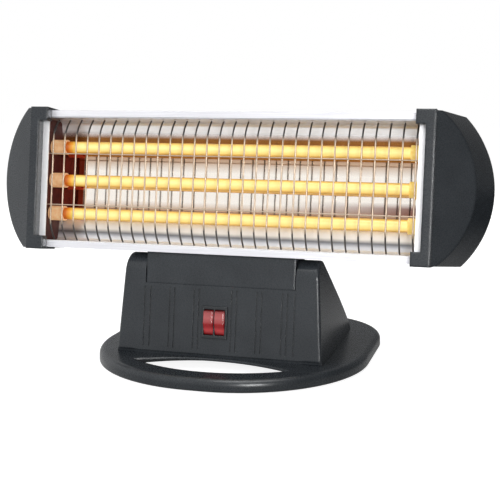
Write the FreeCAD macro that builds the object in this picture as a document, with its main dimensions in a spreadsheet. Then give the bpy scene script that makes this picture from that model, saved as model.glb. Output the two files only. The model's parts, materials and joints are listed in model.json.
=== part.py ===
import FreeCAD, Part
import math
import os

import Sketcher

# Table-top quartz heater: a wide head with three glowing tubes tilts between the two ears of a pedestal.
# Frame: millimetres, +X to the viewer's right, -Y to the front, +Z up, origin on the floor under the middle
# of the base. Head pieces are drawn about the tilt axis, with the head upright, and are leaned back by
# head_tilt when they are placed.

SIZES = {
    # Base ring, floor cover and feet
    "base_width": 275,
    "base_depth": 287,
    "base_front_flat": 7.5,
    "base_back_corner": 86,
    "base_lift": 1.5,
    "base_top": 13,
    "base_edge": 6,
    "handhold_half": 78,
    "handhold_centre": 96,
    "handhold_sag": 20,
    "handhold_near_sag": 25,
    "handhold_deck": 2.5,
    "scoop_half": 94,
    "scoop_ends": 84,
    "scoop_sag": 40,
    "scoop_near_sag": 28,
    "well_half_width": 66,
    "well_half_depth": 52,
    "well_along": 24,
    "cover_ledge": 12,
    "cover_sheet": 2.5,
    "fit_gap": 0.1,
    "foot_radius": 8,
    "foot_sink": 2,
    "foot_across": 104,
    "foot_along": 78,
    # Pedestal hood
    "hood_front": 75,
    "hood_front_half": 103,
    "hood_side_half": 104,
    "hood_side_along": 8,
    "hood_corner_half": 101,
    "hood_back_inset": 53.5,
    "hood_top_half": 98,
    "hood_overrun": 5,
    "hood_round": 2.5,
    "hood_step": 3.5,
    "hood_step_deep": 1.8,
    "hood_wall": 3,
    "hood_roof": 4,
    "hood_ceiling": 65,
    "groove_pitch": 25,
    "groove_first": 19,
    "groove_pair": 5,
    "groove_width": 1.6,
    "groove_deep": 1,
    "groove_low": 20,
    "groove_drop": 11,
    "boss_radius": 5,
    "boss_across": 87,
    "boss_front": 50,
    "boss_back": 40,
    "base_screw_radius": 2,
    "base_screw_head": 4,
    "base_screw_tall": 3,
    "base_screw_reach": 26,
    # Tilt joint
    "pivot_height": 90,
    "pivot_front": 45.5,
    "head_tilt": 9,
    "ear_radius": 18.5,
    "ear_inside": 75.6,
    "neck_radius": 20.8,
    "neck_swing_gap": 0.5,
    "neck_half": 75,
    "neck_half_deep": 17.8,
    "neck_wall": 2.5,
    "neck_cheek": 4,
    "neck_deck": 3,
    "pin_radius": 4,
    "pin_reach": 12,
    "pin_head_radius": 7,
    "pin_head": 2,
    "running_gap": 0.05,
    "washer_radius": 9,
    "washer": 0.5,
    "wire_hole": 5,
    "neck_screw_across": 52,
    "neck_screw_back": 8,
    "neck_screw_radius": 1.75,
    "neck_screw_head": 3.5,
    "neck_screw_tall": 2,
    "neck_screw_reach": 9,
    "neck_boss": 4,
    # Head casing, measured from the middle of the front face
    "face_above_pivot": 88.2,
    "face_before_pivot": 21.7,
    "rail_half": 68.75,
    "rail_lip": 6.2,
    "rail_sheet": 1.2,
    "rail_deep": 40,
    "plate_half": 193,
    "plate_sheet": 1.2,
    "strip_width": 8,
    "housing_sheet": 1,
    "housing_knee": 42,
    "housing_deep": 60,
    "housing_back_half": 50,
    "mirror_sheet": 0.8,
    "mirror_deep": 44,
    "mirror_round": 24,
    # Quartz tubes and their ends
    "tube_pitch": 34,
    "tube_deep": 25,
    "tube_radius": 6,
    "tube_wall": 1,
    "tube_sink": 7,
    "ceramic_radius": 7.5,
    "ceramic_length": 16,
    "ceramic_neck": 4,
    "ceramic_neck_out": 4,
    "terminal_radius": 1.5,
    "terminal_spigot": 2.2,
    "terminal_inner": 14,
    "terminal_out": 10,
    "coil_radius": 3,
    "coil_wire": 0.6,
    "coil_turns": 30,
    "coil_over_spigot": 8,
    "bus_sheet": 1,
    "bus_width": 8,
    "bus_out": 6,
    # Wire guard
    "guard_count": 30,
    "guard_inset": 10.5,
    "guard_wire": 1,
    "guard_deep": 5.5,
    "guard_straight": 52,
    "guard_bend": 4,
    "guard_hook_deep": 11,
    "cross_wire_height": 25.7,
    # Moulded end caps
    "cap_half": 70,
    "cap_rim_half": 71,
    "cap_rim_front": 10,
    "cap_rim_inset": 1.5,
    "cap_rim_wide": 9.2,
    "cap_face_front": 9,
    "cap_face_long": 44,
    "cap_face_end_deep": 11,
    "cap_face_straight": 12,
    "cap_long": 58.5,
    "cap_straight": 30.5,
    "cap_widest_deep": 40,
    "cap_wall": 2.5,
    "cap_lip_inset": 10.5,
    "cap_lip_low": 57.5,
    "cap_lip_deep": 18,
    "cap_screw_radius": 1.5,
    "cap_screw_head": 3,
    "cap_screw_tall": 2,
    "cap_screw_reach": 10,
    "cap_screw_height": 46,
    "cap_screw_deep": 53,
    "cap_boss": 4,
    # Double rocker switch
    "switch_height": 47.5,
    "switch_across": -3,
    "switch_wide": 25.4,
    "switch_tall": 31,
    "switch_flange": 2,
    "switch_deep": 20,
    "switch_step": 1,
    "rocker_wide": 9.2,
    "rocker_half": 11.6,
    "rocker_gap": 0.3,
    "rocker_end_gap": 0.5,
    "rocker_pivot_deep": 3,
    "rocker_crown": 3,
    "rocker_ridge": 3,
    "rocker_angle": 11,
    "rocker_shoulder": 2,
    "rocker_heel": 7,
    "rocker_heel_half": 5,
    "rocker_pin": 1.5,
    "rocker_pin_reach": 0.5,
    "switch_divider": 1.4,
    "blade_wide": 6.3,
    "blade_sheet": 0.8,
    "blade_long": 8,
    # Tip-over switch, terminal block and cord inlet
    "tip_across": -40,
    "tip_along": 15,
    "tip_rod": 3,
    "tip_collar": 4.5,
    "tip_collar_low": 9,
    "tip_collar_tall": 2,
    "tip_switch_low": 18,
    "tip_switch_long": 28,
    "tip_switch_wide": 11,
    "tip_switch_tall": 16,
    "tip_post": 2.5,
    "spring_wire": 0.35,
    "spring_radius": 3.8,
    "spring_turns": 5,
    "block_across": 30,
    "block_along": 15,
    "block_long": 40,
    "block_wide": 16,
    "block_tall": 14,
    "block_screw": 2.5,
    "block_pitch": 12,
    "gland_height": 6.6,
    "gland_radius": 4.5,
    "gland_bore": 3.4,
    "gland_long": 16,
    "cover_screw_radius": 1.5,
    "cover_screw_head": 3,
    "cover_screw_tall": 1,
    "cover_screw_reach": 6,
}

PIECES = []
SIDES = (("left", -1), ("right", 1))
X_AXIS = FreeCAD.Vector(1, 0, 0)
Y_AXIS = FreeCAD.Vector(0, 1, 0)
Z_AXIS = FreeCAD.Vector(0, 0, 1)

doc = FreeCAD.newDocument("quartz_heater")
sheet = doc.addObject("Spreadsheet::Sheet", "sizes")
for row, (alias, number) in enumerate(SIZES.items(), start=1):
    sheet.set(f"A{row}", alias)
    sheet.set(f"B{row}", str(number))
    sheet.setAlias(f"B{row}", alias)
doc.recompute()


class Dim:
    """A size with its present value and the sheet expression that gives it."""

    def __init__(self, value, text):
        self.value = value
        self.text = text

    @staticmethod
    def of(item):
        """Return item as a Dim, so that plain numbers can be mixed in."""
        if isinstance(item, Dim):
            return item
        return Dim(float(item), f"({float(item)})")

    def join(self, sign, other, value):
        """Return the Dim of a sum, difference, product or quotient."""
        return Dim(value, f"({self.text} {sign} {other.text})")

    def __add__(self, other):
        other = Dim.of(other)
        return self.join("+", other, self.value + other.value)

    def __radd__(self, other):
        return Dim.of(other) + self

    def __sub__(self, other):
        other = Dim.of(other)
        return self.join("-", other, self.value - other.value)

    def __rsub__(self, other):
        return Dim.of(other) - self

    def __mul__(self, other):
        other = Dim.of(other)
        return self.join("*", other, self.value * other.value)

    def __rmul__(self, other):
        return Dim.of(other) * self

    def __truediv__(self, other):
        other = Dim.of(other)
        return self.join("/", other, self.value / other.value)

    def __neg__(self):
        return 0 - self


def size(alias):
    """Return the sheet's size of that name."""
    return Dim(float(sheet.get(alias)), f"sizes.{alias}")


def number(alias):
    """Return the plain value of the sheet's size of that name."""
    return float(sheet.get(alias))


def root(item):
    """Return the square root of a Dim."""
    return Dim(math.sqrt(item.value), f"sqrt({item.text})")


def sine(angle):
    """Return the sine of an angle in degrees."""
    return Dim(math.sin(math.radians(angle.value)), f"sin({angle.text})")


def cosine(angle):
    """Return the cosine of an angle in degrees."""
    return Dim(math.cos(math.radians(angle.value)), f"cos({angle.text})")


def bind(thing, path, item):
    """Set a property of a document object from a Dim or number."""
    thing.setExpression(path, Dim.of(item).text)


def place(thing, x=0, y=0, z=0, axis=None, angle=0):
    """Place an object at x, y, z, turned by angle degrees about axis."""
    turn = FreeCAD.Rotation(axis or Z_AXIS, 1)
    thing.Placement = FreeCAD.Placement(FreeCAD.Vector(0, 0, 0), turn)
    bind(thing, "Placement.Base.x", x)
    bind(thing, "Placement.Base.y", y)
    bind(thing, "Placement.Base.z", z)
    bind(thing, "Placement.Rotation.Angle", angle)
    return thing


def keep(thing, label):
    """Name a finished piece and list it for export."""
    thing.Label = label
    PIECES.append(thing)
    return thing


def keep_on_head(thing, label):
    """Keep a head piece, leaned back about the tilt axis."""
    place(thing, 0, -size("pivot_front"), size("pivot_height"), X_AXIS, -size("head_tilt"))
    return keep(thing, label)


def keep_on_panel(thing, label):
    """Keep a switch piece, set into the leaning front of the hood."""
    place(thing, size("switch_across"), panel_front(), size("switch_height"), X_AXIS, -hood_lean())
    return keep(thing, label)


def box(name, low, high):
    """Return a box between two corners given as x, y, z."""
    block = doc.addObject("Part::Box", name)
    for path, start, end in zip(("Length", "Width", "Height"), low, high):
        bind(block, path, Dim.of(end) - start)
    return place(block, *low)


def cylinder(name, radius, length, start, axis=Z_AXIS):
    """Return a cylinder of that length from start, along one of the axes."""
    rod = doc.addObject("Part::Cylinder", name)
    bind(rod, "Radius", radius)
    bind(rod, "Height", length)
    if axis == X_AXIS:
        return place(rod, *start, axis=Y_AXIS, angle=90)
    if axis == Y_AXIS:
        return place(rod, *start, axis=X_AXIS, angle=-90)
    return place(rod, *start)


def fuse(name, *parts):
    """Return the union of several objects."""
    union = doc.addObject("Part::MultiFuse", name)
    union.Shapes = list(parts)
    return union


def cut(name, base, *tools):
    """Return base with the tools taken away."""
    remainder = doc.addObject("Part::Cut", name)
    remainder.Base = base
    remainder.Tool = tools[0] if len(tools) == 1 else fuse(f"{name}_tools", *tools)
    return remainder


def group(name, parts):
    """Return separate solids gathered in one object."""
    gathered = doc.addObject("Part::Compound", name)
    gathered.Links = list(parts)
    return gathered


def feature(name, shape):
    """Return an object that holds a shape made from curves."""
    solid = doc.addObject("Part::Feature", name)
    solid.Shape = shape
    return solid


def vector(point):
    """Return a flat point given as two Dims as a vector."""
    return FreeCAD.Vector(Dim.of(point[0]).value, Dim.of(point[1]).value, 0)


def arc_between(start, end, radius, turn):
    """Return the short arc from start to end, turning left (+1) or right (-1), and whether it is reversed."""
    chord = end - start
    rise = math.sqrt(radius**2 - (chord.Length / 2) ** 2)
    normal = FreeCAD.Vector(-chord.y, chord.x, 0).normalize() * turn
    centre = (start + end) * 0.5 + normal * rise
    first, last = (start, end) if turn > 0 else (end, start)
    circle = Part.Circle(centre, Z_AXIS, radius)
    return Part.ArcOfCircle(circle, circle.parameter(first), circle.parameter(last)), turn < 0


def draw_outline(sketch, points, arcs=None):
    """Draw a closed outline; arcs maps a stretch's number to its radius and turn."""
    arcs = arcs or {}
    first = sketch.GeometryCount
    count = len(points)
    ends = []
    for index in range(count):
        start = vector(points[index])
        end = vector(points[(index + 1) % count])
        if index in arcs:
            radius, turn = arcs[index]
            curve, backwards = arc_between(start, end, Dim.of(radius).value, turn)
        else:
            curve, backwards = Part.LineSegment(start, end), False
        sketch.addGeometry(curve)
        ends.append((2, 1) if backwards else (1, 2))
    for index in range(count):
        after = (index + 1) % count
        joint = (first + index, ends[index][1], first + after, ends[after][0])
        sketch.addConstraint(Sketcher.Constraint("Coincident", *joint))
        for kind, item in zip(("DistanceX", "DistanceY"), points[index]):
            item = Dim.of(item)
            where = (-1, 1, first + index, ends[index][0], item.value)
            tag = sketch.addConstraint(Sketcher.Constraint(kind, *where))
            bind(sketch, f"Constraints[{tag}]", item)
    for index, (radius, _) in arcs.items():
        radius = Dim.of(radius)
        tag = sketch.addConstraint(Sketcher.Constraint("Radius", first + index, radius.value))
        bind(sketch, f"Constraints[{tag}]", radius)


def draw_circle(sketch, centre, radius):
    """Draw a circle."""
    spot = vector(centre)
    radius = Dim.of(radius)
    tag = sketch.addGeometry(Part.Circle(spot, Z_AXIS, radius.value))
    for kind, item in zip(("DistanceX", "DistanceY"), centre):
        item = Dim.of(item)
        row = sketch.addConstraint(Sketcher.Constraint(kind, -1, 1, tag, 3, item.value))
        bind(sketch, f"Constraints[{row}]", item)
    row = sketch.addConstraint(Sketcher.Constraint("Radius", tag, radius.value))
    bind(sketch, f"Constraints[{row}]", radius)


def new_body(name):
    """Return an empty body."""
    return doc.addObject("PartDesign::Body", name)


def new_sketch(body, name, role, height=0):
    """Return a sketch on one of the body's own planes, lifted by height along the plane's normal."""
    sketch = body.newObject("Sketcher::SketchObject", name)
    planes = [item for item in body.Origin.OriginFeatures if item.Role == role]
    sketch.AttachmentSupport = [(planes[0], "")]
    sketch.MapMode = "FlatFace"
    bind(sketch, "AttachmentOffset.Base.z", height)
    return sketch


def pad(body, sketch, length, symmetric=False):
    """Raise a sketch into a solid."""
    solid = body.newObject("PartDesign::Pad", f"{sketch.Name}_pad")
    solid.Profile = sketch
    solid.SideType = "Symmetric" if symmetric else "One side"
    bind(solid, "Length", length)
    return solid


def pocket(body, sketch, depth, upward=False):
    """Sink a sketch into the solid, against the sketch's normal or, upward, along it."""
    doc.recompute()
    before = body.Shape.Volume
    hollow = body.newObject("PartDesign::Pocket", f"{sketch.Name}_pocket")
    hollow.Profile = sketch
    hollow.Reversed = upward
    bind(hollow, "Length", depth)
    doc.recompute()
    if body.Shape.Volume >= before:
        raise RuntimeError(f"{sketch.Name} takes nothing away")
    return hollow


def round_edges(body, base, radius, test):
    """Round the edges of the last feature that pass a test."""
    doc.recompute()
    names = [f"Edge{n}" for n, edge in enumerate(base.Shape.Edges, start=1) if test(edge)]
    fillet = body.newObject("PartDesign::Fillet", f"{base.Name}_round")
    fillet.Base = (base, names)
    bind(fillet, "Radius", radius)
    return fillet


def corner_points(half_x, half_y):
    """Return the four corners of a rectangle about the origin."""
    return [(-half_x, -half_y), (half_x, -half_y), (half_x, half_y), (-half_x, half_y)]


def four_spots(across, front, back):
    """Return two spots at the front and two at the back."""
    return [(-across, -front), (across, -front), (across, back), (-across, back)]


def rounded_rectangle(half_x, half_y, front, back):
    """Return the points and arcs of a rectangle with one corner radius at the front and one at the back."""
    points = [
        (front - half_x, -half_y), (half_x - front, -half_y),
        (half_x, front - half_y), (half_x, half_y - back),
        (half_x - back, half_y), (back - half_x, half_y),
        (-half_x, half_y - back), (-half_x, front - half_y),
    ]
    return points, {1: (front, 1), 3: (back, 1), 5: (back, 1), 7: (front, 1)}


def on_face(height, depth):
    """Return a head point as y, z about the tilt axis from its height and depth on the front face."""
    return depth - size("face_before_pivot"), height + size("face_above_pivot")


def tangent_angle(foot):
    """Return the lean of the line from the hood's foot, at the front or back, to the ears' round."""
    run = size("hood_front") - size("pivot_front") if foot < 0 else hood_back() + size("pivot_front")
    rise = size("pivot_height") - size("base_top")
    reach = root(run * run + rise * rise)
    angle = math.atan2(run.value, rise.value) - math.asin(number("ear_radius") / reach.value)
    text = f"((atan({run.text} / {rise.text}) - asin(sizes.ear_radius / {reach.text})) / 1deg)"
    return Dim(math.degrees(angle), text)


def hood_back():
    """Return the y of the hood's foot at the back."""
    return size("base_depth") / 2 - size("hood_back_inset")


def hood_lean():
    """Return the angle by which the hood's front leans back."""
    return tangent_angle(-1)


def back_lean():
    """Return the angle by which the hood's back leans forward."""
    return tangent_angle(1)


def panel_front():
    """Return the y of the hood's front at the height of the switch."""
    lean = hood_lean()
    rise = size("switch_height") - size("base_top")
    return rise * sine(lean) / cosine(lean) - size("hood_front")


def panel_spot(y, z):
    """Return a point of the leaning panel, y behind it and z up it from the switch, as y, z of the heater."""
    lean = hood_lean()
    along = panel_front() + y * cosine(lean) + z * sine(lean)
    return along, size("switch_height") - y * sine(lean) + z * cosine(lean)


def tube_heights():
    """Return each tube's name and its height from the middle of the face."""
    return (("top", size("tube_pitch")), ("middle", Dim.of(0)), ("bottom", -size("tube_pitch")))


def make_base_plate():
    """Ring-shaped moulding with the hand-hold, a finger scoop, the well and seats for feet and screws."""
    body = new_body("base_plate_body")
    outline = new_sketch(body, "base_outline", "XY_Plane", size("base_lift"))
    corners = (size("base_width") / 2 - size("base_front_flat"), size("base_back_corner"))
    draw_outline(outline, *rounded_rectangle(size("base_width") / 2, size("base_depth") / 2, *corners))
    slab = pad(body, outline, size("base_top") - size("base_lift"))
    top = number("base_top")
    middle = (number("base_top") + number("base_lift")) / 2
    round_edges(body, slab, size("base_edge"), lambda edge: edge.BoundBox.ZMin > middle)
    handhold = new_sketch(body, "handhold", "XY_Plane", size("base_top"))
    sags = (size("handhold_near_sag"), size("handhold_sag"))
    draw_outline(handhold, *lens(size("handhold_half"), size("handhold_centre"), *sags))
    pocket(body, handhold, size("base_top") - size("base_lift"))
    scoop = new_sketch(body, "finger_scoop", "XY_Plane", size("base_lift"))
    sags = (size("scoop_near_sag"), size("scoop_sag"))
    draw_outline(scoop, *lens(size("scoop_half"), size("scoop_ends"), *sags))
    pocket(body, scoop, size("base_top") - size("handhold_deck") - size("base_lift"), upward=True)
    well = new_sketch(body, "well", "XY_Plane", size("base_top"))
    draw_outline(well, well_corners(Dim.of(0)))
    pocket(body, well, size("base_top") - size("base_lift"))
    ledge = new_sketch(body, "ledge", "XY_Plane", size("base_lift"))
    draw_outline(ledge, well_corners(size("cover_ledge") + size("fit_gap")))
    pocket(body, ledge, size("cover_sheet"), upward=True)
    seats = new_sketch(body, "foot_seats", "XY_Plane", size("base_lift"))
    for spot in four_spots(size("foot_across"), size("foot_along"), size("foot_along")):
        draw_circle(seats, spot, size("foot_radius") + size("fit_gap"))
    pocket(body, seats, size("foot_sink"), upward=True)
    heads = new_sketch(body, "screw_heads", "XY_Plane", size("base_lift"))
    shanks = new_sketch(body, "screw_shanks", "XY_Plane", size("base_lift"))
    for spot in four_spots(size("boss_across"), size("boss_front"), size("boss_back")):
        draw_circle(heads, spot, size("base_screw_head") + size("fit_gap"))
        draw_circle(shanks, spot, size("base_screw_radius") + size("fit_gap"))
    pocket(body, heads, size("base_screw_tall"), upward=True)
    pocket(body, shanks, size("base_top") - size("base_lift"), upward=True)
    pilots = new_sketch(body, "cover_pilots", "XY_Plane", size("base_lift"))
    for spot in cover_screw_spots():
        draw_circle(pilots, spot, size("cover_screw_radius") + size("fit_gap"))
    pocket(body, pilots, size("cover_screw_reach") + size("cover_screw_tall"), upward=True)
    channel = new_sketch(body, "cord_channel", "XY_Plane", size("base_lift"))
    half = size("gland_radius") + size("fit_gap")
    start = size("well_along") + size("well_half_depth")
    end = size("base_depth") / 2 + size("base_edge")
    draw_outline(channel, [(-half, start), (half, start), (half, end), (-half, end)])
    pocket(body, channel, size("gland_height") - size("base_lift") + half, upward=True)
    keep(body, "base_plate")


def lens(half, front, near_sag, far_sag):
    """Return the ends and arcs of a lens across the base, its ends at front before the middle."""
    near, far = ((half * half + sag * sag) / (2 * sag) for sag in (near_sag, far_sag))
    return [(-half, -front), (half, -front)], {0: (near, 1), 1: (far, 1)}


def well_corners(reach):
    """Return the corners of the well under the pedestal, moved out by reach."""
    along = size("well_along")
    corners = corner_points(size("well_half_width") + reach, size("well_half_depth") + reach)
    return [(x, along + y) for x, y in corners]


def cover_screw_spots():
    """Return the corners of the cover where its screws go into the ledge."""
    return well_corners(size("cover_ledge") / 2)


def make_bottom_cover():
    """Floor cover with the posts of the tip-over switch and the hole of its plunger."""
    body = new_body("bottom_cover_body")
    outline = new_sketch(body, "cover_outline", "XY_Plane", size("base_lift"))
    draw_outline(outline, well_corners(size("cover_ledge")))
    pad(body, outline, size("cover_sheet"))
    posts = new_sketch(body, "tip_posts", "XY_Plane", size("base_lift") + size("cover_sheet"))
    arm = size("tip_switch_long") / 2 - size("tip_post")
    for side in (-1, 1):
        draw_circle(posts, (size("tip_across") + side * arm, size("tip_along")), size("tip_post"))
    pad(body, posts, size("tip_switch_low") - size("base_lift") - size("cover_sheet"))
    guide = new_sketch(body, "plunger_guide", "XY_Plane", size("base_lift"))
    draw_circle(guide, (size("tip_across"), size("tip_along")), size("tip_rod") + size("running_gap"))
    pocket(body, guide, size("cover_sheet"), upward=True)
    holes = new_sketch(body, "cover_holes", "XY_Plane", size("base_lift"))
    sinks = new_sketch(body, "cover_sinks", "XY_Plane", size("base_lift"))
    for spot in cover_screw_spots():
        draw_circle(holes, spot, size("cover_screw_radius") + size("fit_gap"))
        draw_circle(sinks, spot, size("cover_screw_head") + size("fit_gap"))
    pocket(body, holes, size("cover_sheet"), upward=True)
    pocket(body, sinks, size("cover_screw_tall"), upward=True)
    keep(body, "bottom_cover")


def screw(name, radius, head_radius, head_tall, reach, seat, axis=Z_AXIS, way=1):
    """Return a screw whose head seats at a point and whose shank reaches on along an axis, up or down it."""
    spot = list(seat)
    index = (X_AXIS, Y_AXIS, Z_AXIS).index(axis)
    seat_place = Dim.of(spot[index])
    spot[index] = seat_place - head_tall if way > 0 else seat_place
    head = cylinder(f"{name}_head", head_radius, head_tall, tuple(spot), axis)
    spot[index] = seat_place - head_tall if way > 0 else seat_place - reach
    shank = cylinder(f"{name}_shank", radius, Dim.of(reach) + head_tall, tuple(spot), axis)
    return fuse(name, head, shank)


def make_base_fixings():
    """Rubber feet, the screws that hold the pedestal and the screws of the floor cover."""
    feet = []
    for index, (x, y) in enumerate(four_spots(size("foot_across"), size("foot_along"), size("foot_along"))):
        tall = size("base_lift") + size("foot_sink")
        feet.append(cylinder(f"foot_{index}", size("foot_radius"), tall, (x, y, 0)))
    keep(group("feet", feet), "rubber_feet")
    screws = []
    for index, (x, y) in enumerate(four_spots(size("boss_across"), size("boss_front"), size("boss_back"))):
        sizes = (size("base_screw_radius"), size("base_screw_head"), size("base_screw_tall"))
        seat = (x, y, size("base_lift") + size("base_screw_tall"))
        screws.append(screw(f"base_screw_{index}", *sizes, size("base_screw_reach"), seat))
    keep(group("pedestal_screws", screws), "base_screws")
    screws = []
    for index, (x, y) in enumerate(cover_screw_spots()):
        sizes = (size("cover_screw_radius"), size("cover_screw_head"), size("cover_screw_tall"))
        seat = (x, y, size("base_lift") + size("cover_screw_tall"))
        screws.append(screw(f"cover_screw_{index}", *sizes, size("cover_screw_reach"), seat))
    keep(group("floor_cover_screws", screws), "cover_screws")


def between(low, high, share):
    """Return the value that lies that share of the way from low to high."""
    return low + (high - low) * share


def hood_sides(low, high, inset):
    """Return the block between the hood's bowed, leaning sides, drawn in by inset, from level to level."""
    foot = number("base_top")
    front = -number("hood_front") - number("hood_overrun")
    back = hood_back().value + number("hood_overrun")
    wires = []
    for level in (low, high):
        share = (level - foot) / (number("pivot_height") - foot)
        top = number("hood_top_half")
        front_half = between(number("hood_front_half"), top, share) - inset
        side_half = between(number("hood_side_half"), top, share) - inset
        corner_half = between(number("hood_corner_half"), top, share) - inset
        spots = []
        for way in (1, -1):
            row = ((front_half, front), (side_half, number("hood_side_along")), (corner_half, back))
            spots.append([FreeCAD.Vector(way * x, y, level) for x, y in row[::way]])
        (first, bulge, last), (far_last, far_bulge, far_first) = spots
        curves = [
            Part.Arc(first, bulge, last), Part.LineSegment(last, far_last),
            Part.Arc(far_last, far_bulge, far_first), Part.LineSegment(far_first, first),
        ]
        wires.append(Part.Wire([curve.toShape() for curve in curves]))
    return Part.makeLoft(wires, True, True)


def hood_profile():
    """Return the hood's side view as a wide block: leaning front, round over the axis and sloping back."""
    axis_y = -size("pivot_front")
    axis_z = size("pivot_height")
    radius = size("ear_radius")
    foot = size("base_top")
    points = [(hood_back(), foot)]
    for angle, way in ((back_lean(), 1), (hood_lean(), -1)):
        points.append((axis_y + way * radius * cosine(angle), axis_z + radius * sine(angle)))
    points.append((-size("hood_front"), foot))
    body = new_body("hood_profile_body")
    section = new_sketch(body, "hood_section", "YZ_Plane")
    draw_outline(section, points, {1: (radius, 1)})
    pad(body, section, 4 * size("hood_side_half"), symmetric=True)
    return body


def hood_hollow():
    """Return the hood's hollow: inside the walls, under the roof and up to the ceiling below the neck."""
    foot = size("base_top")
    tall = size("hood_ceiling") - foot
    front = size("hood_wall") / cosine(hood_lean()) - size("hood_front")
    back = hood_back() - size("hood_roof") / cosine(back_lean())
    front_run = tall * sine(hood_lean()) / cosine(hood_lean())
    back_run = tall * sine(back_lean()) / cosine(back_lean())
    body = new_body("hood_hollow_body")
    section = new_sketch(body, "hollow_section", "YZ_Plane")
    points = [(front, foot), (back, foot), (back - back_run, foot + tall), (front + front_run, foot + tall)]
    draw_outline(section, points)
    pad(body, section, 4 * size("hood_side_half"), symmetric=True)
    sides = feature("hollow_sides", hood_sides(foot.value, (foot + tall).value, number("hood_wall")))
    hollow = doc.addObject("Part::MultiCommon", "hood_inside")
    hollow.Shapes = [body, sides]
    return hollow


def hood_outside():
    """Return the hood's outside, rounded along the edges of its two sides."""
    profile = hood_profile()
    doc.recompute()
    foot = number("base_top")
    crown = number("pivot_height") + 2 * number("ear_radius")
    block = profile.Shape.common(hood_sides(foot, crown, 0)).Solids[0]
    top_half = number("hood_top_half")
    radius = number("hood_round")
    boxes = [(edge, edge.BoundBox) for edge in block.Edges]
    edges = [edge for edge, span in boxes if span.ZLength > radius and span.XLength < top_half]
    return feature("hood_outside", block.makeFillet(radius, edges))


def make_pedestal_shell():
    """Hood on the base: leaning grooved front, two round ears for the tilt axis and a sloping back."""
    axis_z = size("pivot_height")
    hood = hood_outside()
    shell = cut("hood_hollowed", hood, hood_hollow())
    bosses = []
    pilots = []
    pilot = size("base_screw_radius") + size("fit_gap")
    screw_top = size("base_lift") + size("base_screw_tall") + size("base_screw_reach") + size("fit_gap")
    for index, (x, y) in enumerate(four_spots(size("boss_across"), size("boss_front"), size("boss_back"))):
        start = (x, y, size("base_top"))
        bosses.append(cylinder(f"boss_{index}", size("boss_radius"), axis_z - size("base_top"), start))
        pilots.append(cylinder(f"pilot_{index}", pilot, screw_top - size("base_top"), start))
    posts = doc.addObject("Part::MultiCommon", "hood_bosses")
    posts.Shapes = [hood, fuse("boss_set", *bosses)]
    tools = [make_foot_step(), *make_notch(), make_switch_window(), *make_grooves(), *pilots]
    keep(cut("hood", fuse("hood_with_bosses", shell, posts), *tools), "pedestal_shell")


def make_foot_step():
    """Return the block that sets the foot of the hood's front back a little above the base."""
    half = 2 * size("hood_front_half")
    front = -size("hood_front")
    foot = size("base_top")
    high = (half, front + size("hood_step_deep"), foot + size("hood_step"))
    return box("foot_step", (-half, 2 * front, foot), high)


def make_notch():
    """Return the tools that clear the neck's swing, the pins' bores in the ears and the way of the wires."""
    inside = size("ear_inside")
    axis_y = -size("pivot_front")
    axis_z = size("pivot_height")
    swing = size("neck_radius") + size("neck_swing_gap")
    notch = cylinder("notch_round", swing, 2 * inside, (-inside, axis_y, axis_z), X_AXIS)
    over = size("ear_radius") / cosine(back_lean()) + size("fit_gap")
    mouth = box("notch_mouth", (-inside, axis_y - over, axis_z), (inside, axis_y + over, axis_z + over))
    deep = inside + size("pin_reach") + size("fit_gap")
    bore = size("pin_radius") + size("running_gap")
    bores = cylinder("ear_bores", bore, 2 * deep, (-deep, axis_y, axis_z), X_AXIS)
    slot = size("wire_hole")
    low = size("hood_ceiling") - size("hood_wall")
    wires = box("wire_slot", (-2 * slot, axis_y - slot, low), (2 * slot, axis_y + slot, axis_z))
    return notch, mouth, bores, wires


def panel_box(name, low, high):
    """Return a box on the leaning panel, between two corners given in the panel's own frame."""
    block = doc.addObject("Part::Box", name)
    for path, start, end in zip(("Length", "Width", "Height"), low, high):
        bind(block, path, Dim.of(end) - start)
    along, height = panel_spot(Dim.of(low[1]), Dim.of(low[2]))
    return place(block, size("switch_across") + low[0], along, height, X_AXIS, -hood_lean())


def make_switch_window():
    """Return the block that cuts the switch's window in the hood's front."""
    half_x = size("switch_wide") / 2 - size("switch_step") + size("fit_gap")
    half_z = size("switch_tall") / 2 - size("switch_step") + size("fit_gap")
    deep = size("switch_deep")
    return panel_box("switch_window", (-half_x, -deep, -half_z), (half_x, deep, half_z))


def make_grooves():
    """Return the pairs of upright grooves in the hood's front and the seams along its columns."""
    grooves = []
    wide = size("groove_width")
    deep = size("groove_deep")
    low = size("groove_low") - size("switch_height")
    high = size("pivot_height") - size("groove_drop") - size("switch_height")
    for pair in range(3):
        middle = size("groove_first") + pair * size("groove_pitch")
        for side, way in SIDES:
            for part in (0, 1):
                left = way * middle + (part - 0.5) * size("groove_pair") - wide / 2
                name = f"groove_{pair}_{side}_{part}"
                grooves.append(panel_box(name, (left, -deep, low), (left + wide, deep, high)))
    for side, way in SIDES:
        left = way * size("ear_inside") - size("switch_across") - wide / 2
        grooves.append(panel_box(f"column_seam_{side}", (left, -deep, low), (left + wide, deep, high)))
    return grooves


def rocker_lane():
    """Return the width of one rocker's opening and the distance of its middle from the switch's middle."""
    lane = size("rocker_wide") + 2 * size("rocker_gap")
    return lane, (lane + size("switch_divider")) / 2


def rocker_pivot():
    """Return how far the rockers' pivots lie behind the panel."""
    return size("rocker_pivot_deep") - size("switch_flange")


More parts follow.
